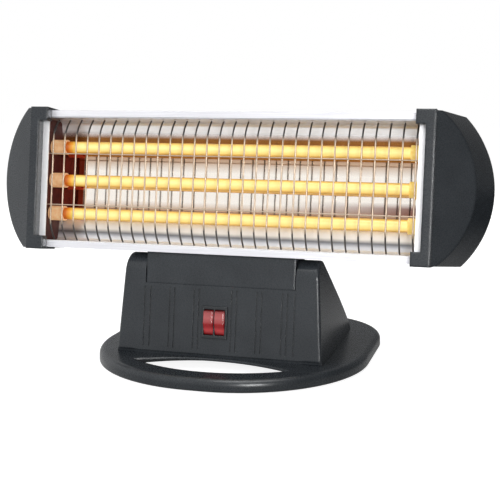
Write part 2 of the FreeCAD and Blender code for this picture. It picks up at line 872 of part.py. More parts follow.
def make_switch_frame():
    """Black bezel with two openings and the bores of the rockers' pins."""
    half_x = size("switch_wide") / 2
    half_z = size("switch_tall") / 2
    step = size("switch_step")
    flange = box("bezel", (-half_x, -size("switch_flange"), -half_z), (half_x, 0, half_z))
    inner_x = half_x - step
    inner_z = half_z - step
    case = box("switch_case", (-inner_x, 0, -inner_z), (inner_x, size("switch_deep"), inner_z))
    lane, middle = rocker_lane()
    half = size("rocker_half")
    lift = size("rocker_crown")
    reach = root(half * half + lift * lift) + size("rocker_end_gap")
    floor = size("switch_deep") - size("hood_wall")
    tools = []
    for side, way in SIDES:
        low = (way * middle - lane / 2, -size("switch_deep"), -reach)
        high = (way * middle + lane / 2, floor, reach)
        tools.append(box(f"rocker_opening_{side}", low, high))
    pin_half = middle + lane / 2 + size("rocker_pin_reach") + size("fit_gap")
    bore = size("rocker_pin") + size("running_gap")
    tools.append(cylinder("rocker_bores", bore, 2 * pin_half, (-pin_half, rocker_pivot(), 0), X_AXIS))
    keep_on_panel(cut("switch_body", fuse("switch_solid", flange, case), *tools), "switch_frame")


def make_rockers():
    """Two red rockers with ridged faces and pins at their pivots, resting with the lower ends pressed in."""
    lane, middle = rocker_lane()
    half = size("rocker_half")
    lift = size("rocker_crown")
    shoulder = size("rocker_shoulder")
    heel = size("rocker_heel")
    heel_half = size("rocker_heel_half")
    points = [
        (-lift, half), (-lift - size("rocker_ridge"), 0), (-lift, -half), (shoulder, -half),
        (heel, -heel_half), (heel, heel_half), (shoulder, half),
    ]
    for side, way in SIDES:
        body = new_body(f"rocker_{side}_body")
        section = new_sketch(body, f"rocker_{side}_section", "YZ_Plane", way * middle)
        draw_outline(section, points)
        pad(body, section, size("rocker_wide"), symmetric=True)
        pin_half = lane / 2 + size("rocker_pin_reach")
        start = (way * middle - pin_half, 0, 0)
        pin = cylinder(f"rocker_{side}_pin", size("rocker_pin"), 2 * pin_half, start, X_AXIS)
        rocker = fuse(f"rocker_{side}_solid", body, pin)
        along, height = panel_spot(rocker_pivot(), Dim.of(0))
        place(rocker, size("switch_across"), along, height, X_AXIS, size("rocker_angle") - hood_lean())
        keep(rocker, f"rocker_{side}")


def make_switch_terminals():
    """Flat blades at the back of the switch, two for each rocker."""
    blades = []
    lane, middle = rocker_lane()
    for side, way in SIDES:
        for row in (-1, 1):
            low = (way * middle - size("blade_wide") / 2, size("switch_deep"), row * lane / 2)
            high = (low[0] + size("blade_wide"), low[1] + size("blade_long"), low[2] + size("blade_sheet"))
            blades.append(box(f"blade_{side}_{row + 1}", low, high))
    keep_on_panel(group("blades", blades), "switch_terminals")


def quarter_arcs(points, tangents):
    """Return the edges of a smooth chain of arcs through points with tangents, two arcs between each pair."""
    edges = []
    for start, end, leave, arrive in zip(points, points[1:], tangents, tangents[1:]):
        chord = end - start
        both = leave + arrive
        bend = 2 * (1 - leave.dot(arrive))
        arm = (math.sqrt(chord.dot(both) ** 2 + bend * chord.dot(chord)) - chord.dot(both)) / bend
        first = start + leave * arm
        last = end - arrive * arm
        middle = (first + last) * 0.5
        for tail, knee, tip in ((start, first, middle), (middle, last, end)):
            weight = (tip - tail).Length / (2 * (knee - tail).Length)
            crest = (tail + knee * (2 * weight) + tip) * (1 / (2 + 2 * weight))
            edges.append(Part.Arc(tail, crest, tip).toShape())
    return edges


def coil_shape(name, radius, wire, turns, length, origin, axis):
    """Return a helix of wire along an axis from origin, with short straight ends, and print its least gap."""
    steps = 4 * turns
    turn = math.pi / 2
    rise = length / turns
    lie = FreeCAD.Rotation(Z_AXIS, axis)
    points = []
    tangents = []
    for step in range(steps + 1):
        angle = step * turn
        spot = FreeCAD.Vector(radius * math.cos(angle), radius * math.sin(angle), rise * step / 4)
        slope = rise / (2 * math.pi)
        heading = FreeCAD.Vector(-radius * math.sin(angle), radius * math.cos(angle), slope).normalize()
        points.append(origin + lie.multVec(spot))
        tangents.append(lie.multVec(heading))
    edges = quarter_arcs(points, tangents)
    start = points[0] - tangents[0] * (2 * wire)
    end = points[-1] + tangents[-1] * (2 * wire)
    edges.insert(0, Part.LineSegment(start, points[0]).toShape())
    edges.append(Part.LineSegment(points[-1], end).toShape())
    ring = Part.Wire([Part.Circle(start, tangents[0], wire).toShape()])
    pipe = Part.Wire(edges).makePipeShell([ring], True, False)
    apart = rise * 2 * math.pi * radius / math.hypot(rise, 2 * math.pi * radius) - 2 * wire
    print(f"{name}: least gap between turns {apart:.2f} mm")
    return pipe


def make_tip_switch():
    """Tip-over switch on the posts of the floor cover, with its plunger and spring."""
    x = size("tip_across")
    y = size("tip_along")
    low = size("tip_switch_low")
    half_x = size("tip_switch_long") / 2
    half_y = size("tip_switch_wide") / 2
    high = low + size("tip_switch_tall")
    keep(box("tip_case", (x - half_x, y - half_y, low), (x + half_x, y + half_y, high)), "tip_switch")
    rod = cylinder("plunger_rod", size("tip_rod"), low - size("fit_gap"), (x, y, 0))
    start = (x, y, size("tip_collar_low"))
    collar = cylinder("plunger_collar", size("tip_collar"), size("tip_collar_tall"), start)
    keep(fuse("plunger", rod, collar), "tip_plunger")
    wire = number("spring_wire")
    bottom = number("tip_collar_low") + number("tip_collar_tall") + wire
    free = number("tip_switch_low") - bottom - wire
    tail = 2 * wire
    turns = int(number("spring_turns"))
    origin = FreeCAD.Vector(x.value, y.value, bottom + tail / 2)
    shape = coil_shape("plunger_spring", number("spring_radius"), wire, turns, free - tail, origin, Z_AXIS)
    keep(feature("plunger_spring_coil", shape), "plunger_spring")


def make_terminal_block():
    """Insulating block on the floor cover, with a row of screw wells."""
    x = size("block_across")
    y = size("block_along")
    low = size("base_lift") + size("cover_sheet")
    half_x = size("block_long") / 2
    half_y = size("block_wide") / 2
    block = box("block", (x - half_x, y - half_y, low), (x + half_x, y + half_y, low + size("block_tall")))
    wells = []
    for index in (-1, 0, 1):
        start = (x + index * size("block_pitch"), y, low + size("block_tall") / 2)
        wells.append(cylinder(f"block_well_{index + 1}", size("block_screw"), size("block_tall"), start))
    keep(cut("block_cut", block, *wells), "terminal_block")


def make_cord_gland():
    """Bush in the channel under the base, where the mains lead would come in."""
    end = size("base_depth") / 2
    start = (0, end - size("gland_long"), size("gland_height"))
    bush = cylinder("gland_bush", size("gland_radius"), size("gland_long"), start, Y_AXIS)
    bore = cylinder("gland_bore_tool", size("gland_bore"), size("gland_long"), start, Y_AXIS)
    keep(cut("gland", bush, bore), "cord_gland")


def neck_top():
    """Return how far the underside of the head lies above the tilt axis."""
    return size("face_above_pivot") - size("rail_half")


def neck_screw_spots():
    """Return where the neck's screws go, across and along."""
    return four_spots(size("neck_screw_across"), size("neck_screw_back"), size("neck_screw_back"))


def make_neck_block():
    """Hollow block under the head that turns between the ears, with pin cheeks and screw bosses."""
    half = size("neck_half")
    deep = size("neck_half_deep")
    radius = size("neck_radius")
    top = neck_top()
    low = root(radius * radius - deep * deep)
    body = new_body("neck_body")
    section = new_sketch(body, "neck_section", "YZ_Plane")
    draw_outline(section, [(-deep, top), (-deep, -low), (deep, -low), (deep, top)], {1: (radius, 1)})
    pad(body, section, 2 * half, symmetric=True)
    hollow = new_sketch(body, "neck_hollow", "XY_Plane", top - size("neck_deck"))
    draw_outline(hollow, corner_points(half - size("neck_cheek"), deep - size("neck_wall")))
    pocket(body, hollow, top + radius)
    deck = top - size("neck_deck")
    bosses = []
    bore = size("pin_radius") + size("running_gap")
    tools = [cylinder("cheek_bores", bore, 2 * half, (-half, 0, 0), X_AXIS)]
    tools.append(cylinder("neck_wire_hole", size("wire_hole"), size("neck_deck"), (0, 0, deck)))
    reach = size("neck_screw_reach")
    for index, (x, y) in enumerate(neck_screw_spots()):
        bosses.append(cylinder(f"neck_boss_{index}", size("neck_boss"), reach, (x, y, top - reach)))
        hole = size("neck_screw_radius") + size("running_gap")
        tools.append(cylinder(f"neck_pilot_{index}", hole, reach, (x, y, top - reach)))
    keep_on_head(cut("neck", fuse("neck_solid", body, *bosses), *tools), "neck_block")


def make_tilt_pins():
    """Headed pins through the neck's cheeks into the ears, with a friction washer on each."""
    inner = size("neck_half") - size("neck_cheek")
    start = inner - size("pin_head")
    tip = size("ear_inside") + size("pin_reach")
    for side, way in SIDES:
        head_x = start if way > 0 else -inner
        shank_x = start if way > 0 else -tip
        head = cylinder(f"pin_head_{side}", size("pin_head_radius"), size("pin_head"), (head_x, 0, 0), X_AXIS)
        shank = cylinder(f"pin_shank_{side}", size("pin_radius"), tip - start, (shank_x, 0, 0), X_AXIS)
        keep_on_head(fuse(f"pin_{side}", head, shank), f"pivot_pin_{side}")
        near = size("neck_half") + size("running_gap")
        washer_x = near if way > 0 else -near - size("washer")
        seat = (washer_x, 0, 0)
        disc = cylinder(f"washer_disc_{side}", size("washer_radius"), size("washer"), seat, X_AXIS)
        hole_radius = size("pin_radius") + size("running_gap")
        hole = cylinder(f"washer_hole_{side}", hole_radius, size("washer"), seat, X_AXIS)
        keep_on_head(cut(f"washer_{side}", disc, hole), f"friction_washer_{side}")


def housing_half():
    """Return half the height of the housing outside, under the rails' flanges."""
    return size("rail_half") - size("rail_sheet") - size("running_gap")


def neck_holes(name):
    """Return tools for the neck's screws and the wires through the underside of the head."""
    holes = []
    low = neck_top() - size("rail_sheet")
    tall = 4 * size("rail_sheet") + size("housing_sheet")
    for index, (x, y) in enumerate(neck_screw_spots()):
        radius = size("neck_screw_radius") + size("fit_gap")
        holes.append(cylinder(f"{name}_screw_hole_{index}", radius, tall, (x, y, low)))
    holes.append(cylinder(f"{name}_wire_hole", size("wire_hole"), tall, (0, 0, low)))
    return holes


def make_neck_screws():
    """Screws from inside the housing down into the neck's bosses."""
    seat_z = size("face_above_pivot") - housing_half() + size("housing_sheet")
    clamp = seat_z - neck_top()
    reach = clamp + size("neck_screw_reach") - size("fit_gap")
    screws = []
    for index, (x, y) in enumerate(neck_screw_spots()):
        sizes = (size("neck_screw_radius"), size("neck_screw_head"), size("neck_screw_tall"))
        screws.append(screw(f"neck_screw_{index}", *sizes, reach, (x, y, seat_z), Z_AXIS, -1))
    keep_on_head(group("neck_screw_set", screws), "neck_screws")


def make_housing_shell():
    """Folded sheet trough behind the mirror, drawn in towards its back."""
    half = housing_half()
    sheet_gap = size("housing_sheet")
    front = size("rail_sheet") + size("fit_gap")
    knee = size("housing_knee")
    deep = size("housing_deep")
    back = size("housing_back_half")
    outside = [(half, front), (half, knee), (back, deep)]
    inner = half - sheet_gap
    inside = [(inner, front), (inner, knee - sheet_gap / 2), (back - sheet_gap / 2, deep - sheet_gap)]
    loop = outside + [(-height, depth) for height, depth in reversed(outside)]
    loop += [(-height, depth) for height, depth in inside] + list(reversed(inside))
    body = new_body("housing_body")
    section = new_sketch(body, "housing_section", "YZ_Plane")
    draw_outline(section, [on_face(height, depth) for height, depth in loop])
    pad(body, section, 2 * (size("plate_half") - size("plate_sheet") - size("fit_gap")), symmetric=True)
    keep_on_head(cut("housing", body, *neck_holes("housing")), "housing_shell")


def mirror_lip():
    """Return the height of the mirror's lips outside, just within the rails' lips."""
    return size("rail_half") - size("rail_lip") - size("fit_gap")


def make_reflector():
    """Polished sheet behind the tubes: flat back, rounded top and bottom and lips up to the rails."""
    outer = mirror_lip()
    sheet_gap = size("mirror_sheet")
    inner = outer - sheet_gap
    front = size("rail_sheet") + size("fit_gap")
    radius = size("mirror_round")
    bend = size("mirror_deep") - radius
    flat = inner - radius
    deep = size("mirror_deep")
    loop = [
        (outer, front), (outer, bend), (flat, deep + sheet_gap), (-flat, deep + sheet_gap),
        (-outer, bend), (-outer, front), (-inner, front), (-inner, bend),
        (-flat, deep), (flat, deep), (inner, bend), (inner, front),
    ]
    thick = radius + sheet_gap
    arcs = {1: (thick, -1), 3: (thick, -1), 7: (radius, 1), 9: (radius, 1)}
    body = new_body("reflector_body")
    section = new_sketch(body, "reflector_section", "YZ_Plane")
    draw_outline(section, [on_face(height, depth) for height, depth in loop], arcs)
    pad(body, section, 2 * (size("plate_half") - size("plate_sheet") - size("fit_gap")), symmetric=True)
    keep_on_head(body, "reflector")


def make_rails():
    """Bright angle rails along the top and bottom of the window."""
    outer = size("rail_half")
    lip = outer - size("rail_lip")
    sheet_gap = size("rail_sheet")
    inner = outer - sheet_gap
    deep = size("rail_deep")
    loop = [(lip, 0), (outer, 0), (outer, deep), (inner, deep), (inner, sheet_gap), (lip, sheet_gap)]
    for name, way in (("top", 1), ("bottom", -1)):
        body = new_body(f"{name}_rail_body")
        section = new_sketch(body, f"{name}_rail_section", "YZ_Plane")
        draw_outline(section, [on_face(way * height, depth) for height, depth in loop])
        pad(body, section, 2 * size("plate_half"), symmetric=True)
        if way < 0:
            body = cut("bottom_rail_cut", body, *neck_holes("bottom_rail"))
        keep_on_head(body, f"{name}_rail")


def make_end_plates():
    """Side plates that carry the tubes, each with a bright strip folded in along the window."""
    half = housing_half()
    lip = mirror_lip()
    front = size("rail_sheet") + size("fit_gap")
    knee = size("housing_knee")
    deep = size("housing_deep")
    back = size("housing_back_half")
    thick = size("plate_sheet")
    upper = [(lip, 0), (lip, front), (half, front), (half, knee), (back, deep)]
    loop = upper + [(-height, depth) for height, depth in reversed(upper)]
    strip = [(lip, 0), (lip, thick), (-lip, thick), (-lip, 0)]
    for side, way in SIDES:
        outside = way * size("plate_half")
        plate_x = outside - thick if way > 0 else outside
        strip_x = outside - size("strip_width") if way > 0 else outside
        body = new_body(f"end_plate_{side}_body")
        outline = new_sketch(body, f"end_plate_{side}_outline", "YZ_Plane", plate_x)
        draw_outline(outline, [on_face(height, depth) for height, depth in loop])
        pad(body, outline, thick)
        flange = new_sketch(body, f"end_plate_{side}_strip", "YZ_Plane", strip_x)
        draw_outline(flange, [on_face(height, depth) for height, depth in strip])
        pad(body, flange, size("strip_width"))
        holes = new_sketch(body, f"end_plate_{side}_holes", "YZ_Plane", plate_x)
        for _, height in tube_heights():
            draw_circle(holes, on_face(height, size("tube_deep")), size("ceramic_neck") + size("fit_gap"))
        for way_up in (-1, 1):
            spot = on_face(way_up * size("cap_screw_height"), size("cap_screw_deep"))
            draw_circle(holes, spot, size("cap_screw_radius") + size("fit_gap"))
        pocket(body, holes, thick, upward=True)
        keep_on_head(body, f"end_plate_{side}")


def ceramic_inner():
    """Return how far from the middle the ceramic ends begin."""
    return size("plate_half") - size("plate_sheet") - size("fit_gap") - size("ceramic_length")


def ceramic_floor():
    """Return how far from the middle the tubes' seats in the ceramics end."""
    return ceramic_inner() + size("tube_sink") + size("fit_gap")


def rod_on_tube(name, radius, near, far, way, height):
    """Return a cylinder on a tube's axis, from near to far from the middle on one side."""
    y, z = on_face(height, size("tube_deep"))
    start = near if way > 0 else -far
    return cylinder(name, radius, far - near, (start, y, z), X_AXIS)


def make_tubes():
    """Three quartz tubes, each with its coil inside and a ceramic and a terminal at each end."""
    pins = {"left": [], "right": []}
    for name, height in tube_heights():
        end = ceramic_inner() + size("tube_sink")
        inner = size("tube_radius") - size("tube_wall")
        y, z = on_face(height, size("tube_deep"))
        glass = cylinder(f"tube_{name}_outside", size("tube_radius"), 2 * end, (-end, y, z), X_AXIS)
        bore = cylinder(f"tube_{name}_inside", inner, 2 * end, (-end, y, z), X_AXIS)
        keep_on_head(cut(f"tube_{name}", glass, bore), f"quartz_tube_{name}")
        make_heating_coil(name, height)
        for side, way in SIDES:
            make_ceramic(name, side, way, height)
            pins[side].append(terminal_pin(name, side, way, height))
    for side, _ in SIDES:
        keep_on_head(group(f"pins_{side}", pins[side]), f"terminal_pins_{side}")


def make_ceramic(name, side, way, height):
    """Ceramic end: a barrel round the tube and a neck through the end plate."""
    tag = f"{name}_{side}"
    near = ceramic_inner()
    shoulder = near + size("ceramic_length")
    far = size("plate_half") + size("ceramic_neck_out")
    barrel = rod_on_tube(f"ceramic_barrel_{tag}", size("ceramic_radius"), near, shoulder, way, height)
    neck = rod_on_tube(f"ceramic_neck_{tag}", size("ceramic_neck"), near, far, way, height)
    seat_radius = size("tube_radius") + size("fit_gap")
    seat = rod_on_tube(f"ceramic_seat_{tag}", seat_radius, near, ceramic_floor(), way, height)
    hole_radius = size("terminal_radius") + size("fit_gap")
    hole = rod_on_tube(f"ceramic_hole_{tag}", hole_radius, near, far, way, height)
    ceramic = cut(f"ceramic_{tag}", fuse(f"ceramic_solid_{tag}", barrel, neck), seat, hole)
    keep_on_head(ceramic, f"ceramic_end_{tag}")


def terminal_pin(name, side, way, height):
    """Return a terminal: a spigot inside the tube and a pin out through the ceramic."""
    tag = f"{name}_{side}"
    floor = ceramic_floor()
    far = size("plate_half") + size("terminal_out")
    spigot_start = floor - size("terminal_inner")
    spigot = rod_on_tube(f"spigot_{tag}", size("terminal_spigot"), spigot_start, floor, way, height)
    pin = rod_on_tube(f"terminal_{tag}", size("terminal_radius"), spigot_start, far, way, height)
    return fuse(f"terminal_pin_{tag}", spigot, pin)


def make_heating_coil(name, height):
    """Resistance coil wound over the terminals' spigots."""
    half = ceramic_floor() - size("terminal_inner") + size("coil_over_spigot")
    turns = int(number("coil_turns"))
    label = f"heating_coil_{name}"
    y, z = on_face(height, size("tube_deep"))
    origin = FreeCAD.Vector(-half.value, y.value, z.value)
    sizes = (number("coil_radius"), number("coil_wire"), turns, 2 * half.value)
    shape = coil_shape(label, *sizes, origin, X_AXIS)
    keep_on_head(feature(f"coil_{name}", shape), label)


def make_bus_strips():
    """Strips on the terminals: one common strip at the right, one for each switched circuit at the left."""
    pitch = size("tube_pitch")
    half = size("bus_width") / 2
    near = size("plate_half") + size("bus_out")
    top = (pitch - half, pitch + half)
    spans = {"right": [(-pitch - half, pitch + half)], "left": [(-pitch - half, half), top]}
    for side, way in SIDES:
        left = near if way > 0 else -near - size("bus_sheet")
        strips = []
        for index, (low, high) in enumerate(spans[side]):
            y, z_low = on_face(low, size("tube_deep"))
            _, z_high = on_face(high, size("tube_deep"))
            far_corner = (left + size("bus_sheet"), y + half, z_high)
            strip = box(f"bus_{side}_{index}", (left, y - half, z_low), far_corner)
            holes = []
            for name, height in tube_heights():
                _, z = on_face(height, size("tube_deep"))
                hole = size("terminal_radius") + size("running_gap")
                label = f"bus_hole_{side}_{index}_{name}"
                holes.append(cylinder(label, hole, size("bus_sheet"), (left, y, z), X_AXIS))
            strips.append(cut(f"bus_cut_{side}_{index}", strip, *holes))
        keep_on_head(group(f"bus_{side}", strips), f"bus_strip_{side}")


def upright_shape():
    """Return one guard wire: straight across the window with both ends bent back to the mirror's lips."""
    wire = number("guard_wire")
    deep = number("guard_deep")
    straight = number("guard_straight")
    hook_rise = mirror_lip().value - number("mirror_sheet") - wire - straight
    hook = FreeCAD.Vector(0, number("guard_hook_deep"), hook_rise)
    lean = hook.normalize()
    reach = math.hypot(number("guard_hook_deep"), hook_rise)
    bend = math.acos(lean.z)
    arm = number("guard_bend") * math.tan(bend / 2)
    origin = FreeCAD.Vector(0, deep - number("face_before_pivot"), number("face_above_pivot"))
    knee = origin + Z_AXIS * straight
    half = []
    before = knee - Z_AXIS * arm
    after = knee + lean * arm
    weight = math.cos(bend / 2)
    crest = (before + knee * (2 * weight) + after) * (1 / (2 + 2 * weight))
    tip = knee + lean * reach
    for point in (before, crest, after, tip):
        half.append((point, FreeCAD.Vector(0, point.y, 2 * origin.z - point.z)))
    (up_a, down_a), (up_b, down_b), (up_c, down_c), (up_d, down_d) = half
    edges = [
        Part.LineSegment(down_d, down_c), Part.Arc(down_c, down_b, down_a), Part.LineSegment(down_a, up_a),
        Part.Arc(up_a, up_b, up_c), Part.LineSegment(up_c, up_d),
    ]
    ring = Part.Wire([Part.Circle(down_d, down_c - down_d, wire).toShape()])
    return Part.Wire([edge.toShape() for edge in edges]).makePipeShell([ring], True, False)


def make_guard():
    """Wire guard: evenly spaced uprights behind two long cross wires."""
    count = int(number("guard_count"))
    half = number("plate_half") - number("guard_inset")
    one = upright_shape()
    wires = []
    for index in range(count):
        wires.append(one.translated(FreeCAD.Vector(between(-half, half, index / (count - 1)), 0, 0)))
    keep_on_head(feature("uprights", Part.Compound(wires)), "guard_uprights")
    end = size("plate_half") - size("plate_sheet") - size("fit_gap")
    cross = []
    for name, way in (("low", -1), ("high", 1)):
        deep = size("guard_deep") - 2 * size("guard_wire") - size("running_gap")
        y, z = on_face(way * size("cross_wire_height"), deep)
        cross.append(cylinder(f"cross_{name}", size("guard_wire"), 2 * end, (-end, y, z), X_AXIS))
    keep_on_head(group("cross_wires", cross), "guard_cross_wires")


def cap_wire(way, edge, tip, half, depth_at):
    """Return a cap's D outline: a straight inner side and a round outer end, with its depth given across."""
    chord = number("plate_half") + number("fit_gap")

    def spot(across, height):
        y = depth_at(across) - number("face_before_pivot")
        return FreeCAD.Vector(way * across, y, height + number("face_above_pivot"))

    low_in, low_out = spot(chord, -half), spot(edge, -half)
    high_in, high_out = spot(chord, half), spot(edge, half)
    edges = [
        Part.LineSegment(low_in, low_out), Part.Arc(low_out, spot(tip, 0), high_out),
        Part.LineSegment(high_out, high_in), Part.LineSegment(high_in, low_in),
    ]
    return Part.Wire([piece.toShape() for piece in edges])


def cap_rim():
    """Return how far from the middle a cap's front rim begins and ends."""
    start = size("plate_half") - size("cap_rim_inset")
    return start, start + size("cap_rim_wide")


def cap_loft(way, wall):
    """Return a cap's body: slanting D face, bevel out to its widest outline and straight to the back."""
    plate = number("plate_half")
    rim_out = cap_rim()[1].value
    face_end = plate + number("cap_face_long")
    slope = (number("cap_face_end_deep") + number("cap_face_front")) / (face_end - rim_out)
    sink = wall * math.hypot(1, slope)
    half = number("cap_half") - wall
    edge = plate + number("cap_straight")
    end = plate + number("cap_long") - wall
    widest = number("cap_widest_deep")
    back = number("housing_deep") - wall

    def face_depth(across):
        return (across - rim_out) * slope - number("cap_face_front") + sink

    wires = [
        cap_wire(way, plate + number("cap_face_straight"), face_end - wall, half, face_depth),
        cap_wire(way, edge, end, half, lambda across: widest),
        cap_wire(way, edge, end, half, lambda across: back),
    ]
    return Part.makeLoft(wires, True, True)


def head_box(name, way, across, heights, depths):
    """Return a box on one side of the head from its spans across, in height and in depth."""
    near, far = across
    left, right = (near, far) if way > 0 else (-far, -near)
    y_low, z_low = on_face(heights[0], depths[0])
    y_high, z_high = on_face(heights[1], depths[1])
    return box(name, (left, y_low, z_low), (right, y_high, z_high))


def make_end_caps():
    """Hollow moulded caps over the ends of the head, with a front rim and lips that clasp the rails."""
    chord = size("plate_half") + size("fit_gap")
    gap = size("fit_gap")
    rim_front = -size("cap_rim_front")
    rim = size("cap_rim_half")
    rim_span = cap_rim()
    lip_in = size("plate_half") - size("cap_lip_inset")
    lip_span = (lip_in, rim_span[1])
    far = size("plate_half") + size("cap_long")
    for side, way in SIDES:
        outside = feature(f"cap_outside_{side}", cap_loft(way, 0))
        inside = feature(f"cap_inside_{side}", cap_loft(way, number("cap_wall")))
        ahead = (-2 * far, -size("cap_face_front"))
        nose = head_box(f"cap_nose_{side}", way, (lip_in, far), (-rim, rim), ahead)
        body = cut(f"cap_body_{side}", outside, nose)
        behind = (-2 * far, size("cap_wall") - size("cap_face_front"))
        front_wall = head_box(f"cap_front_{side}", way, (chord, far), (-rim, rim), behind)
        hollow = cut(f"cap_hollow_{side}", inside, front_wall)
        pieces = [cut(f"cap_shell_{side}", body, hollow)]
        pieces.append(head_box(f"cap_rim_{side}", way, rim_span, (-rim, rim), (rim_front, -gap)))
        pilots = []
        for tag, up in (("low", -1), ("high", 1)):
            lip = sorted((up * size("cap_lip_low"), up * rim), key=lambda item: item.value)
            pieces.append(head_box(f"cap_lip_{tag}_{side}", way, lip_span, lip, (rim_front, -gap)))
            clasp = sorted((up * (size("rail_half") + gap), up * rim), key=lambda item: item.value)
            reach = (rim_front, size("cap_lip_deep"))
            pieces.append(head_box(f"cap_clasp_{tag}_{side}", way, lip_span, clasp, reach))
            y, z = on_face(up * size("cap_screw_height"), size("cap_screw_deep"))
            start = chord if way > 0 else -far
            boss = cylinder(f"cap_boss_{tag}_{side}", size("cap_boss"), far - chord, (start, y, z), X_AXIS)
            post = doc.addObject("Part::MultiCommon", f"cap_post_{tag}_{side}")
            post.Shapes = [outside, boss]
            pieces.append(post)
            deep = size("cap_screw_reach")
            hole_x = chord if way > 0 else -chord - deep
            hole = size("cap_screw_radius") + size("running_gap")
            pilots.append(cylinder(f"cap_pilot_{tag}_{side}", hole, deep, (hole_x, y, z), X_AXIS))
        keep_on_head(cut(f"cap_{side}", fuse(f"cap_solid_{side}", *pieces), *pilots), f"end_cap_{side}")


def make_cap_screws():
    """Screws from inside the end plates out into the caps' bosses."""
    screws = []
    inner = size("plate_half") - size("plate_sheet")
    for side, way in SIDES:
        for tag, up in (("low", -1), ("high", 1)):
            y, z = on_face(up * size("cap_screw_height"), size("cap_screw_deep"))
            sizes = (size("cap_screw_radius"), size("cap_screw_head"), size("cap_screw_tall"))
            seat = (way * inner, y, z)
            label = f"cap_screw_{tag}_{side}"
            screws.append(screw(label, *sizes, size("cap_screw_reach"), seat, X_AXIS, way))
    keep_on_head(group("cap_screw_set", screws), "cap_screws")


def check_and_write():
    """Stop if any object failed, then write each piece to its own file."""
    doc.recompute()
    for thing in doc.Objects:
        if "Invalid" in thing.State or "Error" in thing.State:
            raise RuntimeError(f"{thing.Name} failed: {thing.State}")
    for piece in PIECES:
        if piece.Shape.isNull() or not piece.Shape.isValid() or not piece.Shape.Solids:
            raise RuntimeError(f"{piece.Label} has no valid solid")
    os.makedirs("parts", exist_ok=True)
    for piece in PIECES:
        piece.Shape.exportStep(f"parts/{piece.Label}.step")
        print(f"{piece.Label}: {len(piece.Shape.Solids)} solid, {piece.Shape.Volume / 1000:.2f} cm3")


def main():
    """Build every piece of the heater and write it."""
    make_base_plate()
    make_bottom_cover()
    make_base_fixings()
    make_pedestal_shell()
    make_switch_frame()
    make_rockers()
    make_switch_terminals()
    make_tip_switch()
    make_terminal_block()
    make_cord_gland()
    make_neck_block()
    make_tilt_pins()
    make_neck_screws()
    make_housing_shell()
    make_reflector()
    make_rails()
    make_end_plates()
    make_tubes()
    make_bus_strips()
    make_guard()
    make_end_caps()
    make_cap_screws()
    check_and_write()


main()
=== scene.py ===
import json
import logging
import math
from dataclasses import dataclass
from enum import Enum
from typing import Any, ClassVar

import bpy
import numpy as np
from numpy.typing import ArrayLike
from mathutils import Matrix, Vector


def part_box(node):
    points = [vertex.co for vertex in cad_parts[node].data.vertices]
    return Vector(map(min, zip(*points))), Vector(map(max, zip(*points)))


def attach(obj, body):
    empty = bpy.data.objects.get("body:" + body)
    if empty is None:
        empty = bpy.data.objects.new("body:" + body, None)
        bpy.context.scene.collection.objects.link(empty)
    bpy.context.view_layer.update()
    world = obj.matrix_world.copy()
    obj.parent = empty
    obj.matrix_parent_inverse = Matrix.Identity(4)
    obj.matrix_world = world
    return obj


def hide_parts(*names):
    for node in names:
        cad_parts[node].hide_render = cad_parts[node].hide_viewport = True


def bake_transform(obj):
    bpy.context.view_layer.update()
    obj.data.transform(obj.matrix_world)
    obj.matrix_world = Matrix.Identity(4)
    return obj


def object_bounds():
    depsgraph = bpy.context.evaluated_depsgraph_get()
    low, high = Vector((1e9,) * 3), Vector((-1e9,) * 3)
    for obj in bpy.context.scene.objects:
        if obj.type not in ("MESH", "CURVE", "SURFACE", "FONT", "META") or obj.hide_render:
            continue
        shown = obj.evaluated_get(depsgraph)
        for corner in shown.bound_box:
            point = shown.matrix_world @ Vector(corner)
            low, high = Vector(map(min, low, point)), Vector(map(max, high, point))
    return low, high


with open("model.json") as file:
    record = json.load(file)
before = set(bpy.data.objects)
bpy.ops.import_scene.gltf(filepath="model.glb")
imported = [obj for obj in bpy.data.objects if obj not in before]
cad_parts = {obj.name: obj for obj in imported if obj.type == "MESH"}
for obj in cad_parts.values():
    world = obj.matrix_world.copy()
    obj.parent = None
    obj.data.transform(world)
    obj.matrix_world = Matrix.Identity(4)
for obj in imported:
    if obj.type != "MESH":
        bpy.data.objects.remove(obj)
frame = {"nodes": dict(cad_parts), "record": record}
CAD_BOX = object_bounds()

# Looks of a table-top quartz heater: three glowing tubes before a polished mirror, a wire guard, moulded
# black plastic and a pair of red rockers. Lengths are millimetres until a mesh is made, which is in metres.

MM = 0.001
SHARP_DEG = 40.0
BUMP_STRENGTH = 0.35
EDGE_SAMPLES = 6
# Most values of a mottled pattern lie between these two
PATTERN_LOW, PATTERN_HIGH = 0.3, 0.7
# A wave texture of scale 1 repeats after this length
WAVE_LENGTH = 2 * math.pi / 20
# A Mix node for colours: its setting, and its sockets for the share, the two colours and the result
COLOURS = {"data_type": "RGBA"}
MIX_SHARE, MIX_LOW, MIX_HIGH, MIX_RESULT = 0, 6, 7, 2

Tree = bpy.types.NodeTree
Socket = bpy.types.NodeSocket
Inputs = dict[str | int, Any]
Way = tuple[float, float, float]
Range = tuple[float, float]
Stops = tuple[tuple[float, str | float], ...]

RIGHT: Way = (1.0, 0.0, 0.0)
LEFT: Way = (-1.0, 0.0, 0.0)
UP: Way = (0.0, 0.0, 1.0)
EVEN: Way = (1.0, 1.0, 1.0)

log = logging.getLogger("quartz_heater")


def to_linear(code: str) -> tuple[float, float, float, float]:
    """Turn an sRGB hex colour into linear light.

    Args:
        code: six hex digits after a hash sign.

    Returns:
        Red, green, blue and an alpha of 1.
    """
    values = np.array([int(code[start:start + 2], 16) for start in (1, 3, 5)]) / 255
    light = np.where(values <= 0.04045, values / 12.92, ((values + 0.055) / 1.055) ** 2.4)
    return (*light.tolist(), 1.0)


def per_metre(size_mm: float) -> float:
    """Return the texture scale whose features are about size_mm across in Object coordinates."""
    return 1 / (size_mm * MM)


